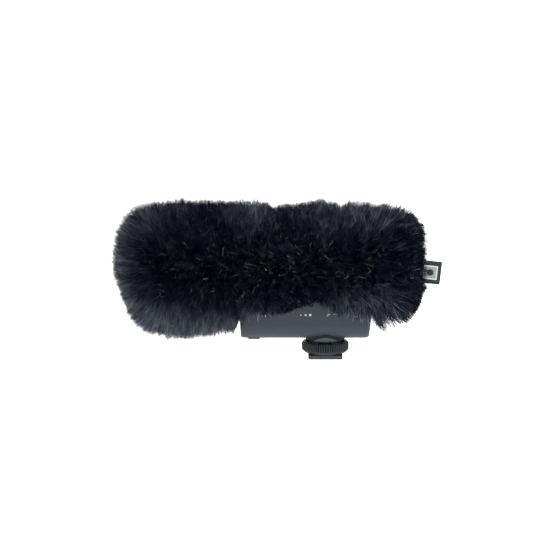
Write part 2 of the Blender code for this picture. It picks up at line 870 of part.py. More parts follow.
def make_tube():
    low, high = TUBE_X

    def tube(bm):
        profile = [(0.0050, low), (TUBE_R, low), (TUBE_R, high), (0.0050, high)]
        add_turned(bm, profile, "X", basket_axis(), 16)

    def slots(bm):
        count = 10
        pitch = (high - low - 0.0120) / count
        for k in range(count):
            x = low + 0.0060 + pitch * (k + 0.5)
            if min(abs(x - ring_x) for ring_x in SUSPENSION_X) > 0.0030:
                low_corner = (x - 0.0018, -0.0080, AXIS_Z - 0.0008)
                add_box(bm, low_corner, (x + 0.0018, 0.0080, AXIS_Z + 0.0008))

    pipe = make("interference_tube", "aluminium", tube)
    combine(pipe, "DIFFERENCE", slots)

    def disc(bm):
        add_cylinder(bm, TUBE_R, low - 0.0011, low - GAP, "X", basket_axis(), 16)

    def holes(bm):
        for k in range(6):
            angle = math.radians(60 * k)
            centre = (0, 0.0034 * math.cos(angle), AXIS_Z + 0.0034 * math.sin(angle))
            add_cylinder(bm, 0.0010, low - 0.0020, low + 0.0005, "X", centre, 8)

    cap = make("tube_nose_grille", "aluminium", disc)
    combine(cap, "DIFFERENCE", holes)


def make_capsule():
    front = TUBE_X[1] + GAP

    def cup(bm):
        profile = [
            (0.0048, front),
            (0.0072, front),
            (0.0072, 0.0070),
            (0.0025, 0.0070),
            (0.0025, 0.0062),
            (0.0062, 0.0062),
            (0.0062, front + 0.0008),
            (0.0048, front + 0.0008),
        ]
        add_turned(bm, profile, "X", basket_axis(), 20)

    def disc(radius, low, high):
        def build(bm):
            add_cylinder(bm, radius, low, high, "X", basket_axis(), 16)
        return build

    def holes(bm):
        for k in range(4):
            angle = math.radians(90 * k + 45)
            centre = (0, 0.0030 * math.cos(angle), AXIS_Z + 0.0030 * math.sin(angle))
            add_cylinder(bm, 0.0006, -0.0062, -0.0035, "X", centre, 8)

    make("capsule_housing", "aluminium", cup)
    make("diaphragm", "brass", disc(0.0058, -0.0065, -0.0062))
    plate = make("back_plate", "brass", disc(0.0058, -0.0057, -0.0045))
    combine(plate, "DIFFERENCE", holes)
    make("capsule_board", "board", disc(0.0058, 0.0020, 0.0030))
    make_lead()


def make_lead():
    """Lead from the capsule board, out of the capsule and down to the main board."""
    start = Vector((0.0035, 0, AXIS_Z))
    corner = Vector((LEAD_X, 0, AXIS_Z))
    end = Vector((LEAD_X, 0, 0.0286))
    bend = 0.0050
    before = corner - Vector((bend, 0, 0))
    after = corner - Vector((0, 0, bend))
    points = [start]
    for k in range(9):
        t = k / 8
        points.append(before * (1 - t) ** 2 + corner * 2 * t * (1 - t) + after * t ** 2)
    points.append((after + end) / 2)
    points.append(end)
    tube_curve("capsule_lead", "insulation", points, 0.0009)


def tube_curve(name, material, points, radius):
    curve = bpy.data.curves.new(name, "CURVE")
    curve.dimensions = "3D"
    curve.bevel_depth = radius
    curve.bevel_resolution = 2
    curve.use_fill_caps = True
    spline = curve.splines.new("POLY")
    spline.points.add(len(points) - 1)
    for item, point in zip(spline.points, points):
        item.co = (*point, 1.0)
    curve.materials.append(MATERIALS[material])
    obj = bpy.data.objects.new(name, curve)
    bpy.context.scene.collection.objects.link(obj)


# ---------------------------------------------------------------- windscreen

def windscreen_slit(bm):
    """The way out for the housing: below the basket, from the slit's front end to the rear."""
    add_box(bm, (SLIT_X, -SLIT_HALF, -0.0100), (0.0700, SLIT_HALF, 0.0450))


def below_hem(bm):
    add_box(bm, (SLIT_X, -0.0600, -0.0200), (0.0700, 0.0600, FUR_HEM_Z))


def below_arch(bm):
    top = HEM_Z + HEM_R + 0.0005
    outline = [
        (ARCH_X[0] - 0.0015, -0.0200),
        (ARCH_X[0] - 0.0015, top),
        (ARCH_X[1] - 0.0015, top + ARCH_RISE),
        (ARCH_X[2] + 0.0010, top + ARCH_RISE),
        (ARCH_X[3] + 0.0010, top),
        (ARCH_X[3] + 0.0010, -0.0200),
    ]
    add_prism(bm, outline, "Y", -0.0600, 0.0600)


def make_windscreen():
    inner_r = BASKET_R + FUR_CLEAR
    outer_nose = ellipse_arc(NOSE_X, FUR_NOSE_LENGTH, FUR_R, 0, 90, 6)
    inner_nose = ellipse_arc(NOSE_X, NOSE_LENGTH + FUR_CLEAR, inner_r, 90, 0, 4)

    def nose(bm):
        add_turned(bm, outer_nose + inner_nose, "X", basket_axis())

    def panel(profile):
        def build(bm):
            inner = [(inner_r, profile[-1][1]), (inner_r, profile[0][1])]
            add_turned(bm, profile + inner, "X", basket_axis())
        return build

    body_profile = [
        (FUR_R, NOSE_X + GAP),
        (FUR_R + 0.0005, -0.0650),
        (FUR_R, -0.0450),
        (FUR_R - 0.0025, SEAM_X - GAP / 2),
    ]
    rear_profile = [
        (FUR_R - 0.0025, SEAM_X + GAP / 2),
        (FUR_R, -0.0150),
        (FUR_R, 0.0150),
        (FUR_R - 0.0015, 0.0330),
        (FUR_R - 0.0060, FUR_REAR_X),
    ]
    make("fur_nose", "fur", nose, pivot=basket_axis())
    for name, profile in (("fur_body", body_profile), ("fur_rear", rear_profile)):
        fur = make(name, "fur", panel(profile), pivot=basket_axis())
        combine(fur, "DIFFERENCE", below_hem)
        combine(fur, "DIFFERENCE", windscreen_slit)
    combine(fur, "DIFFERENCE", below_arch)

    def lining(bm):
        near, far = LINING_CLEAR, LINING_CLEAR + LINING_THICK
        outside = ellipse_arc(NOSE_X, NOSE_LENGTH + far, BASKET_R + far, 0, 90, 4)
        inside = ellipse_arc(NOSE_X, NOSE_LENGTH + near, BASKET_R + near, 90, 0, 4)
        rear = [(BASKET_R + far, FUR_REAR_X), (BASKET_R + near, FUR_REAR_X)]
        add_turned(bm, outside + rear + inside, "X", basket_axis())

    sock = make("felt_lining", "felt", lining, pivot=basket_axis())
    combine(sock, "DIFFERENCE", windscreen_slit)
    make_hem()
    make_label()


def arch_part(x):
    """0 along the slit's straight edge, 1 on top of the arch."""
    up = (x - ARCH_X[0]) / (ARCH_X[1] - ARCH_X[0])
    down = (ARCH_X[3] - x) / (ARCH_X[3] - ARCH_X[2])
    return min(max(up, 0.0), 1.0) * min(max(down, 0.0), 1.0)


def make_hem():
    """Elastic cord: along one edge of the slit, round the rear mouth, back along the other."""
    ring_r = math.hypot(HEM_Y, AXIS_Z - HEM_Z)
    start_angle = math.atan2(HEM_Y, AXIS_Z - HEM_Z)

    def on_ring(angle):
        return Vector((HEM_X, -ring_r * math.sin(angle), AXIS_Z - ring_r * math.cos(angle)))

    bend = math.radians(9)
    first = Vector((-0.0480, -HEM_Y, HEM_Z))
    before = Vector((HEM_X - 0.0035, -HEM_Y, HEM_Z))
    corner = Vector((HEM_X, -HEM_Y, HEM_Z))
    after = on_ring(start_angle + bend)
    half = [first]
    ease = 0.0015
    for x in sorted({round(corner_x + ease * k, 5) for corner_x in ARCH_X for k in (-1, 0, 1)}):
        part = (arch_part(x - ease) + 2 * arch_part(x) + arch_part(x + ease)) / 4
        half.append(Vector((x, -HEM_Y - ARCH_SPREAD * part, HEM_Z + ARCH_RISE * part)))
    half.append(before)
    for k in range(1, 6):
        t = k / 6
        half.append(before * (1 - t) ** 2 + corner * 2 * t * (1 - t) + after * t ** 2)
    sweep = math.pi - start_angle - bend
    half += [on_ring(start_angle + bend + sweep * k / 12) for k in range(12)]
    mirrored = [Vector((p.x, -p.y, p.z)) for p in half]
    tube_curve("elastic_hem", "elastic", half + [on_ring(math.pi)] + mirrored[::-1], HEM_R)


def make_label():
    x0, x1 = LABEL_X

    def tab(bm):
        half = LABEL_HEIGHT / 2
        add_box(bm, (x0, LABEL_Y - 0.0005, LABEL_Z - half), (x1, LABEL_Y + 0.0005, LABEL_Z + half))
        middle = Vector(((x0 + x1) / 2, LABEL_Y, LABEL_Z))
        turn = Matrix.Rotation(LABEL_TILT, 4, "Y")
        tilt = Matrix.Translation(middle) @ turn @ Matrix.Translation(-middle)
        bmesh.ops.transform(bm, matrix=tilt, verts=bm.verts)

    make("label_tab", "label", tab, pivot=basket_axis())


# ---------------------------------------------------------------- assembly

clear_scene()
MATERIALS = make_materials()
make_shoe()
make_lock_wheel()
make_housing()
make_battery_door()
make_saddle()
make_slide_switch("sensitivity", SENSITIVITY_X, SENSITIVITY_X)
make_slide_switch("low_cut", LOW_CUT_X, LOW_CUT_X - LOW_CUT_TRAVEL / 2)
make_volume_rocker()
make_power_button()
make_boards()
make_sockets()
make_cells()
make_tray()
make_spring("spring_near", -CELL_Y, -0.0426, -0.0399)
make_spring("spring_far", CELL_Y, 0.0049, 0.0022)
make_grilles()
make_frame()
make_foam()
make_suspension()
make_tube()
make_capsule()
make_windscreen()
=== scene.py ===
"""Looks of the furry windscreen on its camera microphone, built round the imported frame.

Meshes are built in millimetres and scaled as they become objects. Lights and camera are in metres.
"""
import math

import bmesh
import bpy
import numpy as np
from mathutils import Matrix, Vector


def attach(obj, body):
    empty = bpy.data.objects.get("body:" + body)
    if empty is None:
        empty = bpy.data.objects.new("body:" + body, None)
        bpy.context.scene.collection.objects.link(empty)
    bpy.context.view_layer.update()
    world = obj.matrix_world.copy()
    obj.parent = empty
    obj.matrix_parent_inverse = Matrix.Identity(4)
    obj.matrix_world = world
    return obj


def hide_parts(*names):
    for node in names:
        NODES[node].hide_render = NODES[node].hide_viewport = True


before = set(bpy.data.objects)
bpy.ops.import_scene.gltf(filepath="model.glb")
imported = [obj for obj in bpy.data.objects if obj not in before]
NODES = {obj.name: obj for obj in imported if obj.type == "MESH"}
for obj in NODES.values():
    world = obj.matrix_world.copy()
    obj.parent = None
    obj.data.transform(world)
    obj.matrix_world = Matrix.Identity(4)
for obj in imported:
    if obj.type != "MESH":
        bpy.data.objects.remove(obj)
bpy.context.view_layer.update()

RANDOM = np.random.default_rng(11)
MM = 0.001
AXIS = 48.3    # height of the windscreen's axis
BACK_R = 20.5  # radius of the fur's backing round that axis


# ---------------- materials

class Surface:
    """A Principled material and short ways to add nodes to it."""

    def __init__(self, name, roughness=0.5, metallic=0.0, specular=0.5):
        self.material = bpy.data.materials.new(name)
        self.material.use_nodes = True
        self.tree = self.material.node_tree
        self.shader = self.tree.nodes["Principled BSDF"]
        for key, value in (("Roughness", roughness), ("Metallic", metallic), ("Specular IOR Level", specular)):
            self.shader.inputs[key].default_value = value

    def node(self, kind, inputs=None, **settings):
        made = self.tree.nodes.new("ShaderNode" + kind)
        for key, value in settings.items():
            setattr(made, key, value)
        for key, value in (inputs or {}).items():
            if isinstance(value, bpy.types.NodeSocket):
                self.tree.links.new(value, made.inputs[key])
            else:
                made.inputs[key].default_value = value
        return made

    def place(self, stretch=(1, 1, 1)):
        coords = self.node("TexCoord")
        inputs = {"Vector": coords.outputs["Object"], "Scale": stretch}
        return self.node("Mapping", inputs).outputs["Vector"]

    def noise(self, scale, stretch=(1, 1, 1), detail=4.0):
        inputs = {"Vector": self.place(stretch), "Scale": scale, "Detail": detail}
        return self.node("TexNoise", inputs).outputs["Fac"]

    def maths(self, operation, a, b):
        return self.node("Math", {0: a, 1: b}, operation=operation).outputs[0]

    def mix(self, a, b, share):
        """share of a and the rest of b."""
        return self.maths("ADD", self.maths("MULTIPLY", a, share), self.maths("MULTIPLY", b, 1 - share))

    def fit(self, value, low, high, start=0.3, end=0.7):
        inputs = {"Value": value, "From Min": start, "From Max": end, "To Min": low, "To Max": high}
        return self.node("MapRange", inputs).outputs["Result"]

    def colour(self, value, dark, light, start=0.3, end=0.7):
        ramp = self.node("ValToRGB", {"Fac": value})
        for element, place, tint in zip(ramp.color_ramp.elements, (start, end), (dark, light)):
            element.position = place
            element.color = (*tint, 1.0)
        self.tree.links.new(ramp.outputs["Color"], self.shader.inputs["Base Color"])

    def rough(self, value):
        self.tree.links.new(value, self.shader.inputs["Roughness"])

    def bump(self, height, strength, distance=0.0002):
        inputs = {"Height": height, "Strength": strength, "Distance": distance}
        made = self.node("Bump", inputs)
        self.tree.links.new(made.outputs["Normal"], self.shader.inputs["Normal"])


def moulded(name, dark, light, roughness, grain=2600.0, bump=0.25, specular=0.32):
    """Moulded plastic with a fine spark-eroded texture and a slight handling polish."""
    s = Surface(name, roughness, specular=specular)
    fine = s.noise(grain, detail=3.0)
    broad = s.noise(70.0)
    s.colour(s.mix(fine, broad, 0.35), dark, light)
    s.rough(s.fit(broad, roughness - 0.07, roughness + 0.07))
    s.bump(fine, bump, 0.00008)
    return s.material


def metal(name, dark, light, roughness, stretch, metallic=1.0):
    """Machined or drawn metal: streaks along the tool's path and small scratches."""
    s = Surface(name, roughness, metallic)
    streak = s.noise(900.0, stretch, 3.0)
    patch = s.noise(220.0)
    s.colour(s.mix(streak, patch, 0.6), dark, light)
    s.rough(s.fit(streak, roughness - 0.08, roughness + 0.10))
    s.bump(streak, 0.15, 0.00004)
    return s.material


def woven(name, dark, light, pitch, roughness=0.85, turned=False):
    """Plain weave: two sets of ridges, over and under each other. Turned, it runs round the axis."""
    s = Surface(name, roughness, specular=0.3)
    frequency = math.pi / pitch
    parts = s.node("SeparateXYZ", {"Vector": s.place()})
    along = parts.outputs["X"]
    across = parts.outputs["Z"]
    if turned:
        above_axis = s.maths("SUBTRACT", parts.outputs["Z"], AXIS * MM)
        angle = s.maths("ARCTAN2", parts.outputs["Y"], above_axis)
        across = s.maths("MULTIPLY", angle, BACK_R * MM)
    warp = s.maths("SINE", s.maths("MULTIPLY", along, frequency), 0.0)
    weft = s.maths("SINE", s.maths("MULTIPLY", across, frequency), 0.0)
    height = s.fit(s.maths("MULTIPLY", warp, weft), 0.0, 1.0, -1.0, 1.0)
    fuzz = s.noise(3500.0, detail=2.0)
    s.colour(s.mix(height, fuzz, 0.6), dark, light)
    s.bump(height, 0.7, pitch / 4)
    return s.material


def felt_like(name, dark, light, scale=1400.0, pores=False):
    """Matted fibres, or open foam when pores is set."""
    s = Surface(name, 0.95, specular=0.2)
    if pores:
        inputs = {"Vector": s.place(), "Scale": scale}
        height = s.node("TexVoronoi", inputs).outputs["Distance"]
    else:
        height = s.noise(scale, (1, 1, 0.25), 5.0)
    s.colour(height, dark, light, 0.15, 0.75)
    s.bump(height, 0.8, 0.0003)
    return s.material


def board_face(name):
    """Solder mask over copper tracks."""
    s = Surface(name, 0.4, specular=0.5)
    inputs = {"Vector": s.place(), "Scale": 260.0, "Mortar Size": 0.03}
    tracks = s.node("TexBrick", inputs).outputs["Fac"]
    grain = s.noise(900.0)
    s.colour(s.mix(tracks, grain, 0.7), (0.006, 0.05, 0.026), (0.04, 0.16, 0.08), 0.1, 0.9)
    s.rough(s.fit(grain, 0.3, 0.5))
    s.bump(tracks, 0.4, 0.00005)
    return s.material


def sleeve(name):
    """Printed shrink sleeve of a cell: two bands that meet at x = 0, and a faint wrinkle."""
    s = Surface(name, 0.3, specular=0.5)
    x = s.node("SeparateXYZ", {"Vector": s.place()}).outputs["X"]
    wrinkle = s.noise(500.0, (0.2, 1, 1))
    wavy = s.maths("ADD", x, s.maths("MULTIPLY", wrinkle, 0.002))
    s.colour(wavy, (0.02, 0.05, 0.11), (0.30, 0.31, 0.33), 0.0, 0.0)
    s.rough(s.fit(wrinkle, 0.22, 0.40))
    s.bump(wrinkle, 0.2, 0.0001)
    return s.material


def hair(name, dark, light, roughness):
    """Hair: each strand carries its own tone, which changes from its root to its tip."""
    s = Surface(name, roughness, specular=0.09)
    tone = s.node("Attribute", attribute_name="tone").outputs["Fac"]
    fleck = s.noise(2400.0, detail=2.0)
    s.colour(s.maths("MULTIPLY", tone, s.fit(fleck, 0.8, 1.2)), dark, light, 0.0, 1.0)
    return s.material


LOOKS = {
    "shell": moulded("housing_plastic", (0.019, 0.0265, 0.034), (0.026, 0.034, 0.043), 0.52),
    "boss": moulded("boss_plastic", (0.037, 0.047, 0.058), (0.052, 0.062, 0.074), 0.45),
    "plastic": moulded("dark_plastic", (0.020, 0.022, 0.026), (0.034, 0.037, 0.042), 0.55),
    "wheel": moulded("wheel_plastic", (0.011, 0.016, 0.021), (0.021, 0.028, 0.035), 0.48, 1800.0,
                     specular=0.22),
    "insulation": moulded("socket_plastic", (0.012, 0.012, 0.013), (0.024, 0.024, 0.026), 0.45),
    "window": moulded("light_pipe", (0.30, 0.34, 0.32), (0.42, 0.46, 0.44), 0.25, 900.0, 0.05),
    "print": moulded("white_print", (0.40, 0.42, 0.43), (0.52, 0.54, 0.55), 0.6, 3000.0, 0.1),
    "foot": metal("foot_metal", (0.030, 0.034, 0.039), (0.052, 0.057, 0.064), 0.45, (0.15, 1, 1), 0.55),
    "grille": metal("grille_wire", (0.030, 0.032, 0.036), (0.060, 0.064, 0.070), 0.42, (0.3, 1, 1), 0.7),
    "aluminium": metal("turned_aluminium", (0.36, 0.37, 0.39), (0.56, 0.57, 0.59), 0.34, (1, 0.1, 0.1)),
    "brass": metal("turned_brass", (0.50, 0.36, 0.15), (0.76, 0.60, 0.30), 0.34, (0.1, 0.1, 1)),
    # Painted shade: the lock wheel's hub is made near black so the recess round the boss reads dark.
    "hub": moulded("hub_painted_shade", (0.003, 0.003, 0.004), (0.007, 0.007, 0.008), 0.70, 1500.0, 0.2, 0.08),
    "nickel": metal("nickel_plate", (0.46, 0.45, 0.42), (0.66, 0.65, 0.62), 0.28, (0.2, 1, 1)),
    "steel": metal("zinc_steel", (0.38, 0.39, 0.41), (0.56, 0.57, 0.59), 0.32, (1, 1, 0.2)),
    "felt": felt_like("felt", (0.010, 0.010, 0.012), (0.030, 0.031, 0.034)),
    "foam": felt_like("open_foam", (0.010, 0.010, 0.011), (0.040, 0.040, 0.043), 1600.0, True),
    "elastomer": moulded("elastomer", (0.012, 0.012, 0.013), (0.024, 0.024, 0.026), 0.75, 1500.0),
    # Painted shade: this dark ring round the boss stands in for the shadow in the gap under the housing.
    "shadow_ring": moulded("shadow_ring_rubber", (0.007, 0.010, 0.014), (0.014, 0.018, 0.024), 0.72, 1500.0,
                      specular=0.12),
    "backing": woven("pelt_backing", (0.003, 0.003, 0.004), (0.010, 0.010, 0.012), 0.0007, turned=True),
    "elastic": woven("elastic_braid", (0.006, 0.006, 0.007), (0.030, 0.031, 0.034), 0.0005),
    "tape": woven("label_tape", (0.010, 0.013, 0.014), (0.034, 0.040, 0.042), 0.00042),
    "patch": woven("label_field", (0.15, 0.17, 0.18), (0.33, 0.355, 0.365), 0.00042),
    "thread": woven("label_thread", (0.42, 0.45, 0.46), (0.64, 0.665, 0.675), 0.00036, 0.6),
    "board": board_face("solder_mask"),
    "cell": sleeve("cell_sleeve"),
    "fur": hair("fur_pile", (0.0002, 0.001, 0.011), (0.23, 0.265, 0.305), 0.45),
    "guard": hair("guard_hair", (0.004, 0.0045, 0.006), (0.2, 0.218, 0.245), 0.42),
}

CAD_LOOKS = {
    "shell": "housing_shell battery_door saddle_plate",
    "boss": "shoe_boss",
    "foot": "shoe_foot",
    "wheel": "wheel_rim",
    "plastic": "sensitivity_knob low_cut_knob volume_rocker power_button battery_tray basket_frame "
               "sensitivity_switch low_cut_switch power_switch volume_down_switch volume_up_switch",
    "insulation": "output_socket headphone_socket capsule_lead",
    "window": "status_light_pipe",
    "grille": "grille_near grille_far",
    "aluminium": "interference_tube tube_nose_grille capsule_housing",
    "brass": "diaphragm back_plate",
    "hub": "wheel_hub",
    "nickel": "contact_front contact_rear_near contact_rear_far",
    "steel": "stud_nut door_hinge_pin spring_near spring_far saddle_screw_1 saddle_screw_2 "
             "saddle_screw_3 saddle_screw_4",
    "felt": "felt_lining",
    "foam": "foam_front foam_middle foam_rear",
    "elastomer": "suspension_front suspension_rear clamp_washer",
    "elastic": "elastic_hem",
    "tape": "label_tab",
    "backing": "fur_nose fur_body fur_rear",
    "board": "main_board control_board capsule_board",
    "cell": "battery_near battery_far",
}


def dress_nodes():
    for look, names in CAD_LOOKS.items():
        for name in names.split():
            mesh = NODES[name].data
            mesh.materials.clear()
            mesh.materials.append(LOOKS[look])
    for name in ("shoe_foot", "saddle_plate"):
        bevel = NODES[name].modifiers.new("Edges", "BEVEL")
        bevel.width = 0.15 * MM
        bevel.segments = 2
        bevel.limit_method = "ANGLE"
        bevel.angle_limit = math.radians(40)
    pores = bpy.data.textures.new("pores", "CLOUDS")
    pores.noise_scale = 1.6 * MM
    for name in ("foam_front", "foam_middle", "foam_rear"):
        finer = NODES[name].modifiers.new("Finer", "SUBSURF")
        finer.subdivision_type = "SIMPLE"
        finer.levels = finer.render_levels = 2
        uneven = NODES[name].modifiers.new("Uneven", "DISPLACE")
        uneven.texture = pores
        uneven.strength = 0.3 * MM


# ---------------- mesh helpers

def new_object(name, data):
    obj = bpy.data.objects.new(name, data)
    bpy.context.scene.collection.objects.link(obj)
    return obj


def add_object(name, mesh, look, body):
    mesh.materials.append(LOOKS[look])
    obj = new_object(name, mesh)
    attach(obj, body)
    return obj


def from_bmesh(name, bm, look, body, smooth=True):
    bmesh.ops.recalc_face_normals(bm, faces=bm.faces)
    bmesh.ops.scale(bm, vec=(MM, MM, MM), verts=bm.verts)
    mesh = bpy.data.meshes.new(name)
    bm.to_mesh(mesh)
    bm.free()
    if smooth:
        mesh.shade_smooth()
        mesh.set_sharp_from_angle(angle=math.radians(38))
    return add_object(name, mesh, look, body)


def soft_box(bm, low, high, edge):
    """A box between two corners, with rounded edges."""
    size = [high[i] - low[i] for i in range(3)]
    middle = [(high[i] + low[i]) / 2 for i in range(3)]
    matrix = Matrix.Translation(middle) @ Matrix.Diagonal((*size, 1.0))
    made = bmesh.ops.create_cube(bm, size=1.0, matrix=matrix)
    edges = {e for v in made["verts"] for e in v.link_edges}
    bmesh.ops.bevel(bm, geom=list(edges), offset=edge, segments=2, affect="EDGES")


def prism_y(bm, outline, y_front, y_back):
    """Extrudes an (x, z) outline along Y."""
    front = [bm.verts.new((x, y_front, z)) for x, z in outline]
    back = [bm.verts.new((x, y_back, z)) for x, z in outline]
    bm.faces.new(front)
    bm.faces.new(back[::-1])
    for i in range(len(front)):
        j = (i + 1) % len(front)
        bm.faces.new((front[i], back[i], back[j], front[j]))


def skin(bm, rings, closed=True):
    """Joins rings of points; when closed, the last ring meets the first. Returns the rings of vertices."""
    loops = [[bm.verts.new(p) for p in ring] for ring in rings]
    for first, second in zip(loops, loops[1:] + (loops[:1] if closed else [])):
        for i in range(len(first)):
            j = (i + 1) % len(first)
            bm.faces.new((first[i], first[j], second[j], second[i]))
    return loops


def unit(vectors, safe=0.0):
    return vectors / (np.linalg.norm(vectors, axis=1)[:, None] + safe)


def round_turns(count):
    return np.linspace(0, 2 * math.pi, count + 1)[:-1]


def add_wire(bm, path, radius, sides=4):
    """A round wire along a path near the axis."""
    along = unit(np.gradient(path, axis=0))
    centre = path - np.array([0, 0, AXIS])
    centre[:, 0] = 0
    across = unit(np.cross(along, unit(centre, 1e-9)), 1e-9)
    out = np.cross(across, along)
    turns = [2 * math.pi * (k + 0.5) / sides for k in range(sides)]
    rings = [[p + r * (math.cos(t) * a + math.sin(t) * b) for t in turns]
             for p, a, b, r in zip(path, across, out, np.broadcast_to(radius, len(path)))]
    loops = skin(bm, rings, closed=False)
    bm.faces.new(loops[0])
    bm.faces.new(loops[-1][::-1])


# ---------------- the pelt's surface
# u is the distance along the backing from the middle of the nose, w the distance
# round the section from the top, and x the place along the axis.

NOSE_START, NOSE_LONG = -82.0, 19.3
SLIT_START = -49.5
FLARE_START, MOUTH = 34.0, 45.8
MOUTH_R = 24.9
ARC_ANGLE = math.radians(121.6)  # where the backing leaves the round and hangs as a side flap
ARC = BACK_R * ARC_ANGLE
FLAP, FLAP_LOW = 7.8, 29.9       # the flap's length and the height of its lower edge
HEM_Y, HEM_Z = 16.6, 28.8        # the elastic hem's place beside the slit
ARCH_RISE = 7.2                  # how far the slit's edge rises over the slide knobs
HALF_TURN = BACK_R * math.pi


def ramp(x, start, end):
    """0 at start, 1 at end, and straight between."""
    return np.clip((x - start) / (end - start), 0, 1)


def smooth(part):
    return part ** 2 * (3 - 2 * part)


def arch_part(x):
    """0 along the slit's straight edge, 1 on top of its arch over the slide knobs."""
    return ramp(x, -22.0, -1.0) * ramp(x, 12.5, 2.0)


def profile_table(count=700):
    """Arc length, x, radius and outward normal of the backing, from the nose to the mouth."""
    turn = np.linspace(0, math.pi / 2, 200)
    dome = np.stack([NOSE_START - NOSE_LONG * np.cos(turn), BACK_R * np.sin(turn)], 1)
    x = np.linspace(NOSE_START, MOUTH, 500)[1:]
    radius = BACK_R + (MOUTH_R - BACK_R) * smooth(ramp(x, FLARE_START, MOUTH))
    line = np.concatenate([dome, np.stack([x, radius], 1)])
    u = np.concatenate([[0], np.cumsum(np.hypot(*np.diff(line, axis=0).T))])
    even = np.linspace(0, u[-1], count)
    line = np.stack([np.interp(even, u, line[:, k]) for k in (0, 1)], 1)
    slope = unit(np.gradient(line, axis=0))
    return even, line[:, 0], line[:, 1], -slope[:, 1], slope[:, 0]


U, LINE_X, LINE_R, NORMAL_X, NORMAL_R = profile_table()


def on_pelt(u, w):
    """Points on the backing, the outward normals, and how far down the side flap they are."""
    x = np.interp(u, U, LINE_X)
    r = np.interp(u, U, LINE_R)
    nx = np.interp(u, U, NORMAL_X)
    nr = np.interp(u, U, NORMAL_R)
    side = np.sign(w)
    turn = np.abs(w) / BACK_R
    down = np.where(x > SLIT_START, np.clip((np.abs(w) - ARC) / FLAP, 0, 1), 0)
    turn = np.where(down > 0, ARC_ANGLE, turn)
    y = r * np.sin(turn)
    z = AXIS + r * np.cos(turn)
    part = arch_part(x)
    y = y + (HEM_Y + part - y) * down
    z = z + (FLAP_LOW + ARCH_RISE * part - z) * down
    points = np.stack([x, side * y, z], 1)
    normals = np.stack([nx, side * nr * np.sin(turn), nr * np.cos(turn)], 1)
    return points, normals, down


def inside_pelt(u, w):
    x = np.interp(u, U, LINE_X)
    return (x < SLIT_START) | (np.abs(w) < ARC + FLAP)


# The pile's outline seen from the side: x, then the distance from the axis.
OUTLINE_TOP = np.array([
    (-115, 0), (-115, 8), (-114.8, 15.8), (-113.4, 23.3), (-110.5, 29.9), (-106.9, 32.8),
    (-103.6, 35.4), (-100, 36.9), (-95.6, 37), (-90.2, 36.9), (-83.7, 37), (-70.6, 37.1),
    (-60.8, 36.9), (-37.9, 37), (-33, 35.6), (-31.3, 34.5), (-28.1, 33), (-24.8, 34),
    (-18.3, 34.8), (-13.9, 35.7), (-5.2, 36.4), (-1.9, 37.4), (4.6, 36.6), (7.9, 33.9),
    (11.2, 36.2), (17.7, 37.2), (24.3, 35.8), (28.6, 34.2), (34.1, 36.4), (40.6, 35.6),
    (43.9, 36.6), (46.3, 32.4), (48.4, 28), (50.8, 24), (53.7, 19.8), (55.6, 10), (56.2, 0)])
OUTLINE_LOW = np.array([
    (-114, 0), (-112.6, 4.5), (-109.9, 17), (-106.9, 25.4), (-103.6, 30), (-100, 33.2),
    (-95.6, 35), (-90.2, 36.4), (-83.7, 37.4), (-73.8, 37.4), (-64, 36), (-57.5, 34.2),
    (-51, 34), (-47.7, 34.2), (-44, 33), (-30, 32), (0, 34), (24, 34), (30, 36), (38, 37), (44, 34.6),
    (47.1, 31), (50.4, 24.2), (53.7, 15.2), (55.4, 0)])
OUTLINE_SIDE = np.array([
    (-115.4, 0), (-115, 10), (-113.1, 17), (-109.8, 24.5), (-106.5, 28), (-103.3, 31), (-100, 33.2),
    (-95.6, 34.5), (-90.2, 35.8), (-83.7, 36.8), (-37.9, 37), (-28.1, 34), (-18.3, 35.2),
    (-1.9, 36.6), (7.9, 35), (17.7, 37), (30, 36), (40.6, 34.2), (45, 32.6), (48.6, 30.4),
    (51.4, 28), (53.8, 25.2), (55.4, 22.4), (56.4, 19.2), (56.9, 15), (57, 0)])
# The lower edge of the pile along the housing, seen from the photographed side: x, height.
LOWER_EDGE = np.array([
    (-49.5, 14), (-47.7, 16.6), (-46.5, 20), (-44.4, 24.2), (-27.5, 23.6), (-22.6, 23.9),
    (-13.9, 27.3), (-7.9, 29.4), (-1.2, 31.3), (2, 30.8), (4, 30.2), (8, 28.6), (20, 26),
    (24, 22), (26.8, 14.8), (33, 12.9), (38.5, 13.1), (43.9, 16.4), (47.2, 20.4), (50.4, 27.6),
    (53.7, 36), (57, 44)])
VIEW_TILT = math.radians(9.5)  # how far the camera looks down


def wobble(x, a, size, seed):
    """Smooth values from -1 to 1 over the surface, about size millimetres across."""
    total = 0
    for k in range(4):
        fx = (0.8 + 0.37 * k) / size
        fa = (0.9 + 0.31 * ((k * 2 + seed) % 5)) / size
        sense = 1 if k % 2 else -1
        total = total + np.sin(2 * math.pi * (fx * x + sense * fa * a) + seed * 1.7 + k * 2.1)
    return total / 4


def lean_of(x, w, down, normals, comb):
    """Unit directions in which hair grows, before clumping."""
    back = smooth(ramp(x, 12.0, 46.0)) * math.radians(72)
    front = np.exp(-((x + 74) / 14.0) ** 2) * (x > NOSE_START) * math.radians(-9)
    tilt = back + front + comb[:, 0]
    flat = normals.copy()
    flat[:, 0] = np.where(x > 5, 0, flat[:, 0])
    flat = unit(flat)
    side = np.sign(w)
    behind = ramp(x, 20, 26)
    fall = np.radians(31.6 + 14 * behind + (30 + 34 * behind) * down)
    level = np.stack([0 * x, side * np.cos(fall), -np.sin(fall)], 1)
    flat = np.where((down > 0)[:, None], level, flat)
    direction = flat * np.cos(tilt)[:, None]
    direction[:, 0] += np.sin(tilt)
    around = np.stack([0 * x, -flat[:, 2], flat[:, 1]], 1)
    return unit(direction + around * comb[:, 1][:, None])


# The microphone's path out of the sock, and the battery door with the way it swings.
SLOT_HALF, SLOT_TOP, SLOT_FROM = 14.0, 35.6, SLIT_START + 1.4
DOOR_TOP, DOOR_X = 27.4, (-48, 9)


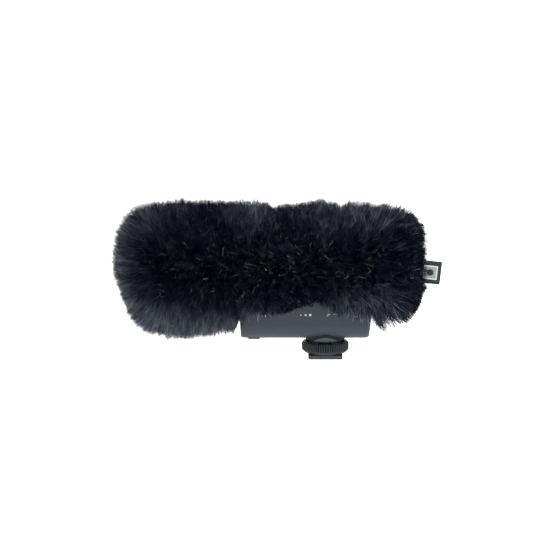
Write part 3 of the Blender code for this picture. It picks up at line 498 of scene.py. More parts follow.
def allowed(p, looseness, swell):
    """Whether points are inside the pile's outline and clear of the microphone's path."""
    x, y, z = p[..., 0], p[..., 1], p[..., 2] - AXIS
    r = np.hypot(y, z)
    share = z / np.maximum(r, 1e-6)
    at = np.clip(x, NOSE_START, 40)
    at = at + (x - at) / swell
    middle = np.interp(at, *OUTLINE_SIDE.T, left=0, right=0)
    upper = np.interp(at, *OUTLINE_TOP.T, left=0, right=0)
    lower = np.interp(at, *OUTLINE_LOW.T, left=0, right=0)
    end = np.where(share > 0, upper, lower)
    ok = r < (middle + (end - middle) * np.abs(share) ** 1.6) * swell
    seen = p[..., 2] * math.cos(VIEW_TILT) - np.abs(y) * math.sin(VIEW_TILT)
    edge = np.interp(x, *LOWER_EDGE.T) - looseness
    behind = x > SLIT_START
    ok &= ~behind | (seen > edge)
    slot = (np.abs(y) < SLOT_HALF) & (p[..., 2] < SLOT_TOP) & (x > SLOT_FROM)
    door = (y > 0) & (p[..., 2] < DOOR_TOP) & (x > DOOR_X[0]) & (x < DOOR_X[1])
    return ok & ~slot & ~door


def hashed(number, gain=43758.5453):
    """A repeatable value from 0 to 1 for each number."""
    return np.modf(np.abs(np.sin(number) * gain))[0]


# Two factors for each value of a cell: its place in u and in w, then its random numbers.
CELL_FACTORS = ((12.99, 78.23), (39.35, 11.13), (73.16, 52.24), (9.15, 27.61), (21.7, 94.67),
                (57.3, 33.9))


def cells(u, w, size, seed):
    """The clump each root belongs to: its own u and w, and four random numbers."""
    a = u / size
    b = w / size
    best = np.full(len(u), 1e9)
    cu, cw = u.copy(), w.copy()
    chance = np.zeros((len(u), 4))
    for di in (-1, 0, 1):
        for dj in (-1, 0, 1):
            i = np.floor(a) + di
            j = np.floor(b) + dj
            values = [hashed(i * m + j * n + seed) for m, n in CELL_FACTORS]
            pu, pw = i + values[0], j + values[1]
            gap = (pu - a) ** 2 + (pw - b) ** 2
            near = gap < best
            best = np.where(near, gap, best)
            cu = np.where(near, pu * size, cu)
            cw = np.where(near, pw * size, cw)
            chance = np.where(near[:, None], np.stack(values[2:], 1), chance)
    return np.clip(cu, 0.01, U[-1] - 0.01), cw, chance


def grow(root, direction, bend, longest, looseness, swell=None):
    """How far each strand reaches along its bent path before it leaves the allowed space."""
    steps = 56
    t = np.linspace(0.03, 1, steps)[None, :] * longest[:, None]
    curve = t ** 2 / (2 * longest[:, None])
    path = root[:, None] + direction[:, None] * t[..., None] + bend[:, None] * curve[..., None]
    swell = np.ones(len(root)) if swell is None else swell
    ok = allowed(path, looseness[:, None], swell[:, None])
    out = np.where(ok.all(1), steps, np.argmin(ok, 1))
    return longest * out / steps


def strand_points(root, direction, bend, longest, reach, shares=(0, 0.4, 0.75, 1.0)):
    """Four points along each bent strand, at the given shares of its reach."""
    runs = [reach * share for share in shares]
    return np.stack([root + direction * t[:, None] + bend * (t ** 2 / (2 * longest))[:, None]
                     for t in runs], 1)


def keep_clear(p):
    """Moves the points that the clumping pushed into the basket or the microphone's path."""
    clear_r, clear_side, nose_tip = 19.4, SLOT_HALF - 0.1, -99.0
    y, z = p[..., 1], p[..., 2] - AXIS
    r = np.hypot(y, z)
    grow_by = np.where(r < clear_r, clear_r / np.maximum(r, 1e-6), 1.0)
    grow_by = np.where(p[..., 0] < nose_tip, 1.0, grow_by)
    p[..., 1] = y * grow_by
    p[..., 2] = AXIS + z * grow_by
    low = p[..., 2] < SLOT_TOP - 0.3
    under = low & (np.abs(p[..., 1]) < clear_side) & (p[..., 0] > SLIT_START + 1.6)
    front = under & (p[..., 0] < SLIT_START + 9)
    p[..., 0] = np.where(front, SLIT_START + 1.6, p[..., 0])
    side = np.where(p[..., 1] < 0, -clear_side, clear_side)
    p[..., 1] = np.where(under & ~front, side, p[..., 1])
    return p


def strand_corners(points, width):
    """Seven corners of each strand's flat ribbon: two at each of three points, and the tip."""
    count = len(points)
    along = unit(points[:, 3] - points[:, 0], 1e-9)
    across = unit(np.cross(along, RANDOM.normal(size=(count, 3))), 1e-9)
    taper = np.array([0.85, 1.0, 0.72])
    half = across[:, None] * (width[:, None] * taper / 2)[..., None]
    corners = np.empty((count, 7, 3))
    corners[:, 0:6:2] = points[:, :3] - half
    corners[:, 1:6:2] = points[:, :3] + half
    corners[:, 6] = points[:, 3]
    return corners


def strand_mesh(name, points, width, tone, tip, look):
    """Flat tapering strands: four points along each, the last one a tip."""
    count = len(points)
    mesh = bpy.data.meshes.new(name)
    mesh.vertices.add(count * 7)
    corners = strand_corners(points, width) * MM
    mesh.vertices.foreach_set("co", corners.astype(np.float32).ravel())
    loops = (np.arange(count) * 7)[:, None] + np.array([0, 1, 3, 2, 2, 3, 5, 4, 4, 5, 6])
    mesh.loops.add(count * 11)
    mesh.loops.foreach_set("vertex_index", loops.astype(np.int32).ravel())
    starts = (np.arange(count) * 11)[:, None] + np.array([0, 4, 8])
    mesh.polygons.add(count * 3)
    mesh.polygons.foreach_set("loop_start", starts.astype(np.int32).ravel())
    mesh.update(calc_edges=True)

    columns = math.ceil(math.sqrt(count))
    cell = np.stack([np.arange(count) % columns, np.arange(count) // columns], 1)[:, None]
    spot = np.array([(0.2, 0.1), (0.8, 0.1), (0.8, 0.4), (0.2, 0.4), (0.2, 0.4), (0.8, 0.4), (0.8, 0.7),
                     (0.2, 0.7), (0.2, 0.7), (0.8, 0.7), (0.5, 0.9)])
    layout = mesh.uv_layers.new(name="OFBake")
    layout.data.foreach_set("uv", ((cell + spot) / columns).astype(np.float32).ravel())

    levels = tone[:, None] * np.array([0.1, 0.1, 0.75, 0.75, 1.0, 1.0, 0.0])
    levels[:, 6] = tone * tip
    tones = mesh.attributes.new("tone", "FLOAT", "POINT")
    tones.data.foreach_set("value", levels.astype(np.float32).ravel())
    return add_object(name, mesh, look, "windscreen")


def sample_roots(count):
    """Roots spread evenly over the backing."""
    area = np.cumsum(LINE_R)
    u = np.interp(RANDOM.random(count) * area[-1], area, U)
    w = RANDOM.uniform(-HALF_TURN, HALF_TURN, count)
    keep = inside_pelt(u, w)
    return u[keep], w[keep]


def comb_field(x, a):
    """Slow swirls in the pile: tilt along the windscreen and round it, in radians."""
    size = 0.12 + 0.10 * ramp(x, -45, -15)
    along = size * wobble(x, a, 34, 1) + 0.6 * size * wobble(x, a, 17, 2)
    around = size * wobble(x, a, 29, 3) + 0.6 * size * wobble(x, a, 15, 4)
    return np.stack([along, around], 1)


# Painted highlights: paler parts of the pile on its top, its nose end and its lower front, where the light
# falls: x, angle from the top towards the side facing the camera, spread of each, strength.
PAINTED_HIGHLIGHT_PATCHES = (
    (-95, 140, 25, 22, 2.2), (-62, 153, 24, 20, 2.3), (-102, 90, 5, 300, 1.2), (-38, 16, 9, 24, 1.5),
    (-2, 20, 9, 26, 1.4), (17, 10, 11, 26, 1.9), (34, 134, 9, 16, 0.6), (13, 129, 12, 24, 3.7),
    (-38, 140, 10, 18, 1.4), (-90, 25, 12, 20, 0.5), (50, 80, 6, 60, 0.3))


def tone_and_painted_highlights(x, w):
    """How pale the pile is at each root: a slow wobble of its tone, darker behind, and the patches of painted
    highlight where light falls.
    """
    turn = np.degrees(-w / BACK_R)
    total = (0.24 + 0.18 * wobble(x, w, 23, 4)) * (1 - 0.6 * ramp(x, 24, 34))
    for px, pt, sx, st, gain in PAINTED_HIGHLIGHT_PATCHES:
        for side in (1, -1):
            total = total + gain * np.exp(-((x - px) / sx) ** 2 - ((side * turn - pt) / st) ** 2)
    return np.clip(total, 0.1, 3.2)


LOCK = 0.78                 # size of a lock of hairs
FINE, LARGE = 2.6, 5.4      # sizes of the clumps that the locks gather in
MEET = 16.5                 # how far out the hairs of a lock meet
SHORTEST = 1.2              # shorter strands are left out


def clump_of(lock_u, lock_w, lock, coarse):
    """The clump of each lock, its random numbers and its size: fine at the nose, mixed behind."""
    fine, large = cells(lock_u, lock_w, FINE, 3.1), cells(lock_u, lock_w, LARGE, 8.7)
    pick = lock[:, 1] < 0.30 + 0.50 * coarse
    clump_u = np.where(pick, large[0], fine[0])
    clump_w = np.where(pick, large[1], fine[1])
    chance = np.where(pick[:, None], large[2], fine[2])
    behind_slit = np.interp(clump_u, U, LINE_X) > SLIT_START
    clump_w = np.where(behind_slit, np.clip(clump_w, -ARC - FLAP, ARC + FLAP), clump_w)
    return clump_u, clump_w, chance, np.where(pick, LARGE, FINE)


def lock_ways(root, coarse, lock_u, lock_w, lock, clump_u, clump_w, chance):
    """Strand directions, which meet in their lock's aim, and how far each lock is from its clump."""
    n = len(root)
    c_root, c_normal, c_down = on_pelt(clump_u, clump_w)
    comb = comb_field(c_root[:, 0], clump_w)
    comb += (chance[:, :2] - 0.5) * (0.20 + 0.42 * coarse)[:, None]
    comb[:, 0] += 0.16 * np.exp(-((c_root[:, 0] + 53) / 4.0) ** 2) * (np.abs(clump_w) > ARC)
    c_way = lean_of(c_root[:, 0], clump_w, c_down, c_normal, comb)
    l_root, l_normal, l_down = on_pelt(lock_u, lock_w)
    l_comb = comb + (lock[:, :2] - 0.5) * 0.24
    aim = l_root + lean_of(l_root[:, 0], lock_w, l_down, l_normal, l_comb) * MEET
    pull = (0.30 + 0.32 * coarse) * (0.6 + 0.8 * chance[:, 2])
    aim += (c_root + c_way * MEET + (l_root - c_root) * 1.3 - aim) * pull[:, None]
    spread = np.where(RANDOM.random(n) < 0.7, 0.35, 1.4)
    aim += (root - l_root) * spread[:, None]
    way = aim - root + RANDOM.normal(size=(n, 3)) * (0.35 + 0.35 * spread)[:, None]
    return unit(way), np.linalg.norm(l_root - c_root, axis=1)


def pile_limits(x, w, down, coarse, lock, chance, spike, off_centre):
    """Each strand's longest length, and how far it may hang below the lower edge and pass the outline."""
    n = len(x)
    longest = np.where(down > 0, 15.5, 19.5) + 6.0 * ramp(x, 20, 26) * (np.abs(w) > ARC - 8)
    longest += 4.0 * ramp(x, -78, -86) + 3.5 * spike
    front = ramp(x, -48, -46) * ramp(x, -25, -31) * (lock[:, 3] > 0.6) * 5.5
    rear = ramp(x, -4, 2) * ramp(x, 27, 25) * (lock[:, 3] > 0.42) * 10.5
    loose = RANDOM.random(n) * 1.4 + (front + rear) * RANDOM.random(n) ** 1.5
    swell = 1.036 + RANDOM.normal(size=n) * 0.018 + (chance[:, 0] - 0.5) * (0.04 + 0.09 * coarse)
    swell += (lock[:, 0] - 0.5) * 0.05 + (0.35 - off_centre) * (0.03 + 0.10 * coarse)
    swell = np.where(spike, np.maximum(swell, 1.05) + 0.015 + 0.075 * lock[:, 0], swell)
    return longest, loose, swell


def pile_tones(x, w, lock, chance):
    """Most locks are dark and a few pale, with single pale glints, all scaled by the wobble and the patches of
    painted highlight.
    """
    n = len(x)
    tone = (0.02 + 1.0 * lock[:, 2] ** 4 + 0.08 * chance[:, 2]) * (0.6 + 0.8 * RANDOM.random(n))
    tone += (RANDOM.random(n) > 0.965) * RANDOM.uniform(0.2, 0.9, n)
    pale = tone_and_painted_highlights(x, w)
    pale = np.where(pale > 1, pale ** (0.1 + 1.5 * lock[:, 2]), pale)
    return np.clip(tone * pale, 0, 1)


def grow_pile(count):
    """Points, widths, tones and tip tones of the main pile: strands in locks, locks in clumps."""
    u, w = sample_roots(count)
    n = len(u)
    root, _, down = on_pelt(u, w)
    x = root[:, 0]
    coarse = ramp(x, -42, -17)
    lock_u, lock_w, lock = cells(u, w, LOCK, 5.5)
    clump_u, clump_w, chance, size = clump_of(lock_u, lock_w, lock, coarse)
    spike = lock[:, 3] > 0.92
    way, apart = lock_ways(root, coarse, lock_u, lock_w, lock, clump_u, clump_w, chance)
    bend = RANDOM.normal(size=(n, 3)) * 0.14 + (lock[:, 1:4] - 0.5) * 0.5
    bend[:, 2] -= 0.16
    longest, loose, swell = pile_limits(x, w, down, coarse, lock, chance, spike, apart / size)
    reach = grow(root, way, bend, longest, loose, swell)
    full = RANDOM.random(n) < 0.6
    length = reach * np.where(full, RANDOM.uniform(0.92, 1.0, n), RANDOM.uniform(0.6, 0.95, n))
    stray = RANDOM.random(n) < 0.07
    length = np.where(stray, np.minimum(reach + 2.6, length * 1.18), length)
    points = keep_clear(strand_points(root, way, bend, longest, length))
    tone = pile_tones(x, w, lock, chance)
    tip = np.clip(0.75 - 0.5 * coarse + 0.3 * (chance[:, 3] - 0.5), 0.1, 1)
    width = np.where(stray, 0.12, RANDOM.uniform(0.15, 0.25, n)) * (1 + 0.5 * spike)
    good = length > SHORTEST
    return points[good], width[good], tone[good], tip[good]


def rim_strands(turn, fan, deep, back, tuft):
    """Roots and directions on the rolled edge: turn is the angle round it, fan the angle backward."""
    radial = np.stack([0 * turn, np.sin(turn), np.cos(turn)], 1)
    around = np.stack([0 * turn, np.cos(turn), -np.sin(turn)], 1)
    swirl = 0.22 * wobble(turn * 25, fan * 9, 16, 2) + 0.3 * (tuft - 0.5)
    way = radial * np.cos(fan)[:, None] + swirl[:, None] * around
    way[:, 0] += np.sin(fan)
    return np.stack([back, deep * radial[:, 1], AXIS + deep * radial[:, 2]], 1), way


def grow_rim(count):
    """Pile on the rolled edge of the rear mouth, fanned outward and backward, in bundles."""
    rim_r, rim_x, rim_gain, meet = 25.0, 45.8, 43758.5, 11.0
    limit = math.pi - math.asin(HEM_Y / 25.6)
    turn = RANDOM.uniform(-limit, limit, count)
    fan = np.radians(RANDOM.uniform(14, 112, count))
    tuft = hashed(np.floor(turn * 7) * 12.99 + np.floor(fan * 4.5) * 78.23, rim_gain)
    row, column = np.floor(turn * 19), np.floor(fan * 10)
    bundle, shift = (hashed(row * m + column * n, rim_gain) for m, n in CELL_FACTORS[:2])
    deep = RANDOM.uniform(24.2, 25.6, count)
    back = RANDOM.uniform(44.6, 46.8, count)
    root, way = rim_strands(turn, fan, deep, back, tuft)
    hub_turn, hub_fan = (row + 0.2 + 0.6 * shift) / 19, (column + 0.2 + 0.6 * bundle) / 10
    hub, aim = rim_strands(hub_turn, hub_fan, np.full(count, rim_r), np.full(count, rim_x), tuft)
    gather = np.where(RANDOM.random(count) < 0.75, 0.8, 0.1)[:, None]
    way = (1 - gather) * way + gather * (hub + aim * meet - root) / meet
    way = unit(way + RANDOM.normal(size=(count, 3)) * 0.06)
    bend = RANDOM.normal(size=(count, 3)) * 0.12
    bend[:, 2] -= 0.12
    longest = np.full(count, 17.0)
    swell = 0.995 + RANDOM.normal(size=count) * 0.012 + (tuft - 0.5) * 0.07
    swell += 0.9 * np.maximum(shift - 0.86, 0)
    reach = grow(root, way, bend, longest, np.zeros(count), swell)
    length = reach * (1 - 0.35 * RANDOM.random(count) ** 2)
    points = keep_clear(strand_points(root, way, bend, longest, length))
    tone = (0.04 + 0.42 * bundle ** 3) * (0.6 + 0.8 * RANDOM.random(count))
    width = RANDOM.uniform(0.17, 0.28, count)
    good = length > SHORTEST
    return points[good], width[good], tone[good], np.full(good.sum(), 0.3)


def grow_guard(count):
    """Sparse pale guard hairs that cross the pile near its surface, in loose patches."""
    u, w = sample_roots(count * 3)
    x = np.interp(u, U, LINE_X)
    patch = wobble(x, w, 21, 5) + 0.7 * wobble(x, w, 9, 2)
    u, w = u[patch > 0.12], w[patch > 0.12]
    root, normal, down = on_pelt(u, w)
    n = len(u)
    comb = comb_field(root[:, 0], w) + RANDOM.normal(size=(n, 2)) * 0.65
    way = lean_of(root[:, 0], w, down, normal, comb)
    bend = RANDOM.normal(size=(n, 3)) * 1.1
    longest = np.full(n, 20.0)
    reach = grow(root, way, bend, longest, np.full(n, 0.5)) * 1.02 + 1.0
    low = RANDOM.uniform(0.78, 0.94, n)
    shares = [low + (1 - low) * k for k in (0, 0.35, 0.7, 1.0)]
    points = strand_points(root, way, bend, longest, reach, shares)
    points[:, 1:3] += RANDOM.normal(size=(n, 2, 3)) * 0.25
    tone = 0.10 + 0.90 * RANDOM.random(n) ** 2.5
    width = RANDOM.uniform(0.15, 0.26, n)
    good = reach > 7
    return keep_clear(points)[good], width[good], tone[good], np.full(good.sum(), 0.6)


PILE, RIM, GUARD = 330000, 26000, 7500
PER_PIECE = 38000  # most strands in one piece


def make_fur():
    """The pile in pieces from nose to rear, and the guard hairs."""
    points, width, tone, tip = (np.concatenate(pair) for pair in zip(grow_pile(PILE), grow_rim(RIM)))
    order = np.argsort(points[:, 0, 0], kind="stable")
    parts = np.array_split(order, math.ceil(len(order) / PER_PIECE))
    pieces = [strand_mesh(f"fur_pile_{number}", points[part], width[part], tone[part], tip[part], "fur")
              for number, part in enumerate(parts, start=1)]
    return pieces + [strand_mesh("fur_guard_hair", *grow_guard(GUARD), "guard")]


def sock(name, look, place, half_width, thickness):
    """A thin sheet round the basket: closed in front of the slit, open below behind it."""
    front_rows, margin = 40, 7
    slit_u = np.interp(SLIT_START, LINE_X, U)
    us = np.concatenate([np.linspace(0.0, slit_u, front_rows), np.linspace(slit_u, U[-1], 62)[1:]])
    ws = np.concatenate([np.linspace(-HALF_TURN, -half_width, margin + 1)[:-1],
                         np.linspace(-half_width, half_width, 65),
                         np.linspace(half_width, HALF_TURN, margin + 1)[1:]])
    columns = len(ws)
    grid_u, grid_w = (grid.ravel() for grid in np.meshgrid(us, ws, indexing="ij"))
    points = place(grid_u, grid_w, np.arange(len(grid_u)) < front_rows * columns)
    bm = bmesh.new()
    verts = [bm.verts.new(p) for p in points]
    for i in range(len(us) - 1):
        for j in range(columns - 1):
            if i < front_rows - 1 or margin <= j < columns - 1 - margin:
                a = i * columns + j
                bm.faces.new((verts[a], verts[a + 1], verts[a + columns + 1], verts[a + columns]))
    bmesh.ops.remove_doubles(bm, verts=bm.verts, dist=0.02)
    bmesh.ops.delete(bm, geom=[v for v in bm.verts if not v.link_faces], context="VERTS")
    piece = from_bmesh(name, bm, look, "windscreen")
    solid = piece.modifiers.new("Thickness", "SOLIDIFY")
    solid.thickness = thickness * MM
    solid.offset = 0
    return piece


def round_points(x, r, w):
    turn = w / BACK_R
    return np.stack([x, r * np.sin(turn), AXIS + r * np.cos(turn)], 1)


def make_backing():
    """The knitted backing that the pile grows from."""
    def place(u, w, front):
        whole = round_points(np.interp(u, U, LINE_X), np.interp(u, U, LINE_R), w)
        return np.where(front[:, None], whole, on_pelt(u, w)[0])

    backing = sock("fur_backing", "backing", place, ARC + FLAP, 0.3)
    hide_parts("fur_nose", "fur_body", "fur_rear")
    return backing


def make_lining():
    """Felt between the backing and the basket, with the slight waves of a sewn layer."""
    inset = 1.1

    def place(u, w, front):
        x = np.interp(u, U, LINE_X) - inset * np.interp(u, U, np.minimum(NORMAL_X, 0))
        r = np.minimum(np.interp(u, U, LINE_R), BACK_R) - inset * np.minimum(np.interp(u, U, NORMAL_R), 1)
        r = np.where(x > NOSE_START, BACK_R - inset, r) + 0.10 * wobble(x, w, 11, 3)
        return round_points(np.minimum(x, 44.0), np.maximum(r, 0), w)

    lining = sock("lining_sheet", "felt", place, BACK_R * math.radians(129.4), 0.8)
    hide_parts("felt_lining")
    return lining


def make_hem():
    """Elastic cord in a gathered casing along the slit's edges and round the rear mouth."""
    slit_end, ring_x = 42.5, 46.0
    x = np.arange(-48.0, slit_end, 0.4)
    side = np.stack([x, -HEM_Y - arch_part(x), HEM_Z + ARCH_RISE * arch_part(x)], 1)
    drop = AXIS - HEM_Z
    ring_r = math.hypot(HEM_Y, drop)
    turn = np.linspace(math.atan2(HEM_Y, drop) + math.radians(9), math.pi, 120)
    ring = np.stack([ring_x + 0 * turn, -ring_r * np.sin(turn), AXIS - ring_r * np.cos(turn)], 1)
    t = np.linspace(0, 1, 16)[1:-1, None]
    before, corner = np.array([slit_end, -HEM_Y, HEM_Z]), np.array([ring_x, -HEM_Y, HEM_Z])
    bend = before * (1 - t) ** 2 + corner * 2 * t * (1 - t) + ring[0] * t ** 2
    half = np.concatenate([side, bend, ring])
    path = np.concatenate([half, (half * np.array([1, -1, 1]))[-2::-1]])
    run = np.concatenate([[0], np.cumsum(np.linalg.norm(np.diff(path, axis=0), axis=1))])
    bm = bmesh.new()
    gather = 1.3
    add_wire(bm, path, 0.86 + 0.05 * np.sin(2 * math.pi * run / gather), 10)
    casing = from_bmesh("hem_casing", bm, "elastic", "windscreen")
    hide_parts("elastic_hem")
    return casing


# ---------------- label

LABEL_X = (46.6, 61.1)
LABEL_Y, LABEL_Z = -24.6, 50.8
LABEL_HALF = 6.2                  # half of the tape's width
TAPE_OUT, TAPE_IN = 0.40, 0.06    # its two faces, from the middle of the fold
FIELD_X, FIELD_HALF = (51.6, 59.1), 3.7


def tilt_label(bm):
    middle = Vector((54.5, LABEL_Y, LABEL_Z))
    turn = Matrix.Rotation(math.radians(6), 4, "Y")
    matrix = Matrix.Translation(middle) @ turn @ Matrix.Translation(-middle)
    bmesh.ops.transform(bm, matrix=matrix, verts=bm.verts)


def folded_line(distance):
    """The folded tape's centre line in plan, moved outward by distance."""
    fold = LABEL_X[1] - TAPE_OUT
    run = np.linspace(LABEL_X[0], fold, 15)
    bend = [(fold + distance * math.sin(a), -distance * math.cos(a))
            for a in np.linspace(0.2, math.pi - 0.2, 9)]
    return [(x, -distance) for x in run] + bend + [(x, distance) for x in run[::-1]]


def make_tape():
    """The folded tape, slightly bowed, with its two cut edges closed."""
    x0, x1 = LABEL_X
    rows, edge, most_bow = 16, 0.12, 0.35
    rings = []
    for k in range(rows + 1):
        part = 2 * k / rows - 1
        shrink = edge if k in (0, rows) else 0.0
        plan = folded_line(TAPE_OUT - shrink) + folded_line(TAPE_IN + shrink)[::-1]
        bow = most_bow * (1 - part * part) / (x1 - x0)
        z = LABEL_Z + LABEL_HALF * part
        rings.append([(x, LABEL_Y + y - bow * (x - x0), z) for x, y in plan])
    bm = bmesh.new()
    loops = skin(bm, rings, closed=False)
    for loop in (loops[0], loops[-1]):
        for i in range(len(loop) // 2 - 1):
            bm.faces.new([loop[v] for v in (i, i + 1, len(loop) - 2 - i, len(loop) - 1 - i)])
    tilt_label(bm)
    tape = from_bmesh("label_tape", bm, "tape", "windscreen")
    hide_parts("label_tab")
    return tape


def rectangle(x0, x1, low, high):
    """Heights are given from the label's middle."""
    return [(x0, LABEL_Z + low), (x1, LABEL_Z + low), (x1, LABEL_Z + high), (x0, LABEL_Z + high)]


def label_piece(name, outlines, look, height):
    """Flat pieces that stand out from the tape's near face."""
    face = LABEL_Y - TAPE_OUT - 0.30
    bm = bmesh.new()
    for outline in outlines:
        prism_y(bm, outline, face - height, face + 0.30)
    tilt_label(bm)
    return from_bmesh(name, bm, look, "windscreen")


def make_label():
    """A folded woven tape with a light field, its border, a plain disc and two selvedges."""
    tape = make_tape()
    (left, right), half, bar, disc_r = FIELD_X, FIELD_HALF, 0.6, 1.7
    border = [rectangle(left, right, half - bar, half), rectangle(left, right, -half, bar - half),
              rectangle(right - bar, right, bar - half, half - bar),
              rectangle(left, left + bar, bar - half, half - bar)]
    disc = [((left + right) / 2 + disc_r * math.cos(a), LABEL_Z + disc_r * math.sin(a))
            for a in round_turns(32)]
    selvedge = [rectangle(LABEL_X[0], LABEL_X[1] - 0.30, *heights)
                for heights in ((LABEL_HALF - 1.1, LABEL_HALF - 0.1), (0.1 - LABEL_HALF, 1.1 - LABEL_HALF))]
    printed = [label_piece("label_field", [rectangle(left, right, -half, half)], "patch", 0.04),
               label_piece("label_outline", border, "thread", 0.14),
               label_piece("label_mark", [disc], "tape", 0.13),
               label_piece("label_selvedge", selvedge, "tape", 0.08)]


# ---------------- basket mesh

def make_basket_mesh():
    """Wire mesh in place of each half shell: two sets of helical wires, one over the other."""
    radius, front_x, rear_x = 18.2, -82.0, 17.0
    turn = np.linspace(math.radians(9), math.pi / 2, 16)
    front = np.stack([front_x - 17.0 * np.cos(turn), radius * np.sin(turn)], 1)
    rear = np.stack([rear_x + 10.0 * np.cos(turn[::-1]), radius * np.sin(turn[::-1])], 1)
    middle = np.stack([np.linspace(front_x, rear_x, 62)[1:-1], np.full(60, radius)], 1)
    line = np.concatenate([front, middle, rear])
    u = np.concatenate([[0], np.cumsum(np.hypot(*np.diff(line, axis=0).T))])
    slope = unit(np.gradient(line, axis=0))
    wires, wire_r, twist = 48, 0.21, 0.62
    spine_half, opening_top, opening_from = 1.45, 35.9, -48.2
    pieces = {-1: [], 1: []}
    for sense, depth in ((-1, 0.26), (1, 0.66)):
        for k in range(wires):
            angle = 2 * math.pi * k / wires + sense * u / radius * twist
            r = line[:, 1] - depth * slope[:, 0]
            x = line[:, 0] + depth * slope[:, 1]
            path = np.stack([x, r * np.sin(angle), AXIS + r * np.cos(angle)], 1)
            cut = (path[:, 2] < opening_top) & (path[:, 0] > opening_from)
            for side in (-1, 1):
                keep = ~cut & (side * path[:, 1] > spine_half)
                starts = np.flatnonzero(np.diff(np.concatenate([[0], keep.astype(int), [0]])))
                pieces[side] += [path[a:b] for a, b in zip(starts[::2], starts[1::2]) if b - a > 2]
    for side, half in ((-1, "near"), (1, "far")):
        bm = bmesh.new()
        for path in pieces[side]:
            add_wire(bm, path, wire_r)
        obj = from_bmesh("basket_mesh_" + half, bm, "grille", "microphone")
        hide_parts("grille_" + half)


# ---------------- housing details

FACE_Y = -12.5    # the housing's near face
LEGEND_Z = 25.2   # height of the printed marks


def stroke(width, *points):
    """Outline of a straight or bent stroke in the (x, z) plane."""
    p = np.array(points, float)
    way = unit(np.gradient(p, axis=0))
    side = np.stack([-way[:, 1], way[:, 0]], 1) * width / 2
    return [tuple(q) for q in np.concatenate([p + side, (p - side)[::-1]])]


def arc(x, z, radius, start, end, steps=20):
    return [(x + radius * math.cos(a), z + radius * math.sin(a))
            for a in np.radians(np.linspace(start, end, steps))]


def print_piece(name, outlines):
    """Printed outlines, with heights from the row of marks."""
    bm = bmesh.new()
    for outline in outlines:
        prism_y(bm, [(x, LEGEND_Z + z) for x, z in outline], FACE_Y - 0.06, FACE_Y + 0.1)
    from_bmesh(name, bm, "print", "microphone", smooth=False)


def make_legends():
    """White printed symbols under the controls."""
    print_piece("legend_level_dots", [arc(x, 0, radius, 0, 345, 24) for x, radius in
                                      ((-13.55, 0.38), (-10.9, 0.52), (-8.45, 0.66))])
    print_piece("legend_filter_marks", [stroke(0.4, (0.6, -0.7), (1.4, 0.3), (2.4, 0.5)),
                                        stroke(0.4, (4.1, 0.5), (6.0, 0.5))])
    print_piece("legend_power_ring", [stroke(0.32, *arc(16.2, 0, 1.0, 125, 415)),
                                      stroke(0.32, (16.2, 0.3), (16.2, 1.3))])
    minus = stroke(0.36, (-38.4, 0), (-37.0, 0))
    band = stroke(0.3, *arc(-33.6, -0.1, 0.9, 0, 180))
    cups = [[(x - 0.3, -0.9), (x + 0.3, -0.9), (x + 0.3, 0), (x - 0.3, 0)] for x in (-34.5, -32.7)]
    plus = [stroke(0.36, (-30.6, 0), (-29.2, 0)), stroke(0.36, (-29.9, -0.7), (-29.9, -0.18)),
            stroke(0.36, (-29.9, 0.18), (-29.9, 0.7))]
    print_piece("legend_volume_marks", [minus, band, *cups, *plus])


def box_piece(name, look, body, edge, boxes):
    bm = bmesh.new()
    for low, high in boxes:
        soft_box(bm, low, high, edge)
    from_bmesh(name, bm, look, body)


def make_pad_and_ribs():
    """A pad under the housing's front, and three ribs on each slide knob."""
    pad = [((-42.2, -7.2, 10.9), (-35.7, 7.2, 11.6))]
    box_piece("housing_front_pad", "elastomer", "microphone", 0.2, pad)
    for switch, x in (("sensitivity", -11.0), ("low_cut", 2.0)):
        ribs = [((rib - 0.16, FACE_Y - 1.15, 30.4), (rib + 0.16, FACE_Y - 0.8, 31.6))
                for rib in (x - 0.8, x, x + 0.8)]
        box_piece(switch + "_ribs", "plastic", switch + "_knob", 0.07, ribs)


def make_shadow_ring():
    """Dark rubber ring round the boss, which follows the housing's rounded underside: painted shade that
    stands in for the shadow in the gap between the boss and the housing.
    """
    corner_r, corner_y, corner_z = 7.5, 5.0, 18.8
    inner_r, outer_r, tall, lowest = 10.45, 10.7, 2.1, 9.8
    rings = []
    for angle in round_turns(72):
        rise = max(abs(10.9 * math.sin(angle)) - corner_y, 0.0)
        top = corner_z - math.sqrt(corner_r ** 2 - rise ** 2) + 0.2
        low = max(top - tall, lowest)
        section = ((inner_r, low), (outer_r, low + 0.2), (outer_r, top), (inner_r, top))
        rings.append([(r * math.cos(angle), r * math.sin(angle), z) for r, z in section])
    bm = bmesh.new()
    skin(bm, rings)
    from_bmesh("boss_shadow_ring", bm, "shadow_ring", "microphone")


def make_door_grip():
    bars = [((-25.0, 12.35, z - 0.2), (-13.0, 12.70, z + 0.2)) for z in (23.2, 22.3, 21.4)]
    box_piece("battery_door_grip", "shell", "battery_door", 0.1, bars)


def make_socket_collars():
    """Turned collars round the two sockets in the rear face."""
    socket_z = 20.5
    section = ((1.80, 24.2), (2.00, 24.52), (2.5, 24.56), (2.72, 24.38), (2.72, 24.2))
    for name, y in (("output_collar", -5.5), ("headphone_collar", 5.5)):
        bm = bmesh.new()
        skin(bm, [[(x, y + r * math.cos(a), socket_z + r * math.sin(a)) for a in round_turns(32)]
                  for r, x in section])
        from_bmesh(name, bm, "nickel", "microphone")


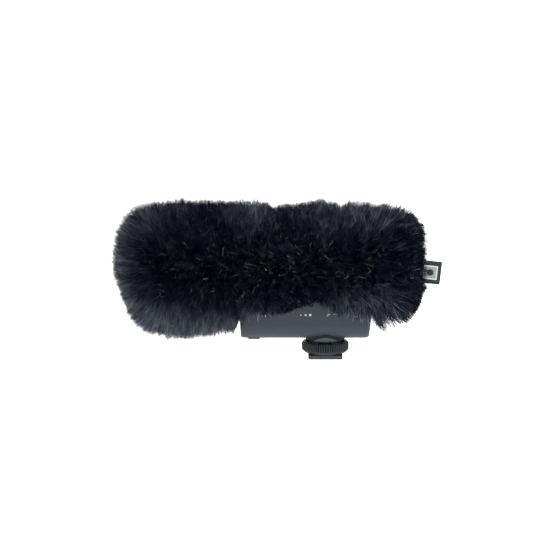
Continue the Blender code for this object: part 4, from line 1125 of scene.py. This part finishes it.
def make_wheel():
    """Lock wheel rim with fine, rounded serrations and turned chamfers."""
    teeth, per_tooth, depth = 60, 6, 0.9
    # Radius, height and the share of the serrations' depth.
    section = [(8.7, 2.6, 0), (10.8, 2.6, 0), (11.35, 2.85, 0), (12.55, 4.0, 0.4), (12.85, 4.4, 1),
               (12.85, 6.1, 1), (12.85, 7.8, 1), (12.6, 8.2, 0.6), (12.2, 8.6, 0.1), (11.9, 8.8, 0),
               (11.1, 8.8, 0), (10.9, 8.6, 0), (10.9, 6.9, 0), (8.7, 6.9, 0)]
    turns = round_turns(teeth * per_tooth)
    groove = 1 - abs(np.sin(math.pi * np.arange(len(turns)) / per_tooth)) ** 0.7
    bm = bmesh.new()
    skin(bm, [[(r * math.cos(a), r * math.sin(a), z) for r, a in zip(radius - share * depth * groove, turns)]
              for radius, z, share in section])
    wheel = from_bmesh("wheel_rim_serrated", bm, "wheel", "lock_wheel")
    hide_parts("wheel_rim")


# ---------------- studio

def make_studio():
    bm = bmesh.new()
    bmesh.ops.create_grid(bm, x_segments=2, y_segments=2, size=30.0)
    mesh = bpy.data.meshes.new("floor")
    bm.to_mesh(mesh)
    bm.free()
    s = Surface("floor_paper", 0.9, specular=0.1)
    s.colour(s.noise(3.0), (0.93, 0.93, 0.93), (0.97, 0.97, 0.97))
    s.shader.inputs["Emission Color"].default_value = (1, 1, 1, 1)
    s.shader.inputs["Emission Strength"].default_value = 1.25
    mesh.materials.append(s.material)
    new_object("floor", mesh)

    world = bpy.data.worlds.new("studio")
    bpy.context.scene.world = world
    world.use_nodes = True
    background = world.node_tree.nodes["Background"]
    background.inputs["Color"].default_value = (1, 1, 1, 1)
    background.inputs["Strength"].default_value = 1.0

    def softbox(name, place, size, power):
        light = bpy.data.lights.new(name, "AREA")
        light.shape = "RECTANGLE"
        light.size, light.size_y = size
        light.energy = power
        obj = new_object(name, light)
        obj.location = place
        aim = Vector((-0.03, 0, 0.045)) - Vector(place)
        obj.rotation_euler = aim.to_track_quat("-Z", "Y").to_euler()

    softbox("key", (-0.9, -0.5, 0.7), (0.9, 0.7), 4.5)
    softbox("rim", (-0.2, 1.2, 0.5), (1.4, 0.6), 3.5)


def make_camera():
    distance, target, view_width = 1.2, Vector((-0.0275, 0.0, 0.0451)), 0.29975
    camera = bpy.data.cameras.new("camera")
    camera.sensor_width = 36.0
    camera.lens = camera.sensor_width * distance / view_width
    camera.clip_start, camera.clip_end = 0.05, 80.0
    obj = new_object("camera", camera)
    back = Vector((0, -math.cos(VIEW_TILT), math.sin(VIEW_TILT)))
    obj.location = target + back * distance
    obj.rotation_euler = (-back).to_track_quat("-Z", "Y").to_euler()
    bpy.context.scene.camera = obj


bpy.context.scene.view_settings.view_transform = "Standard"
make_camera()
make_studio()
dress_nodes()
backing, lining, casing = make_backing(), make_lining(), make_hem()
pile = make_fur()
make_label()
make_basket_mesh()
make_legends()
make_pad_and_ribs()
make_shadow_ring()
make_door_grip()
make_socket_collars()
make_wheel()
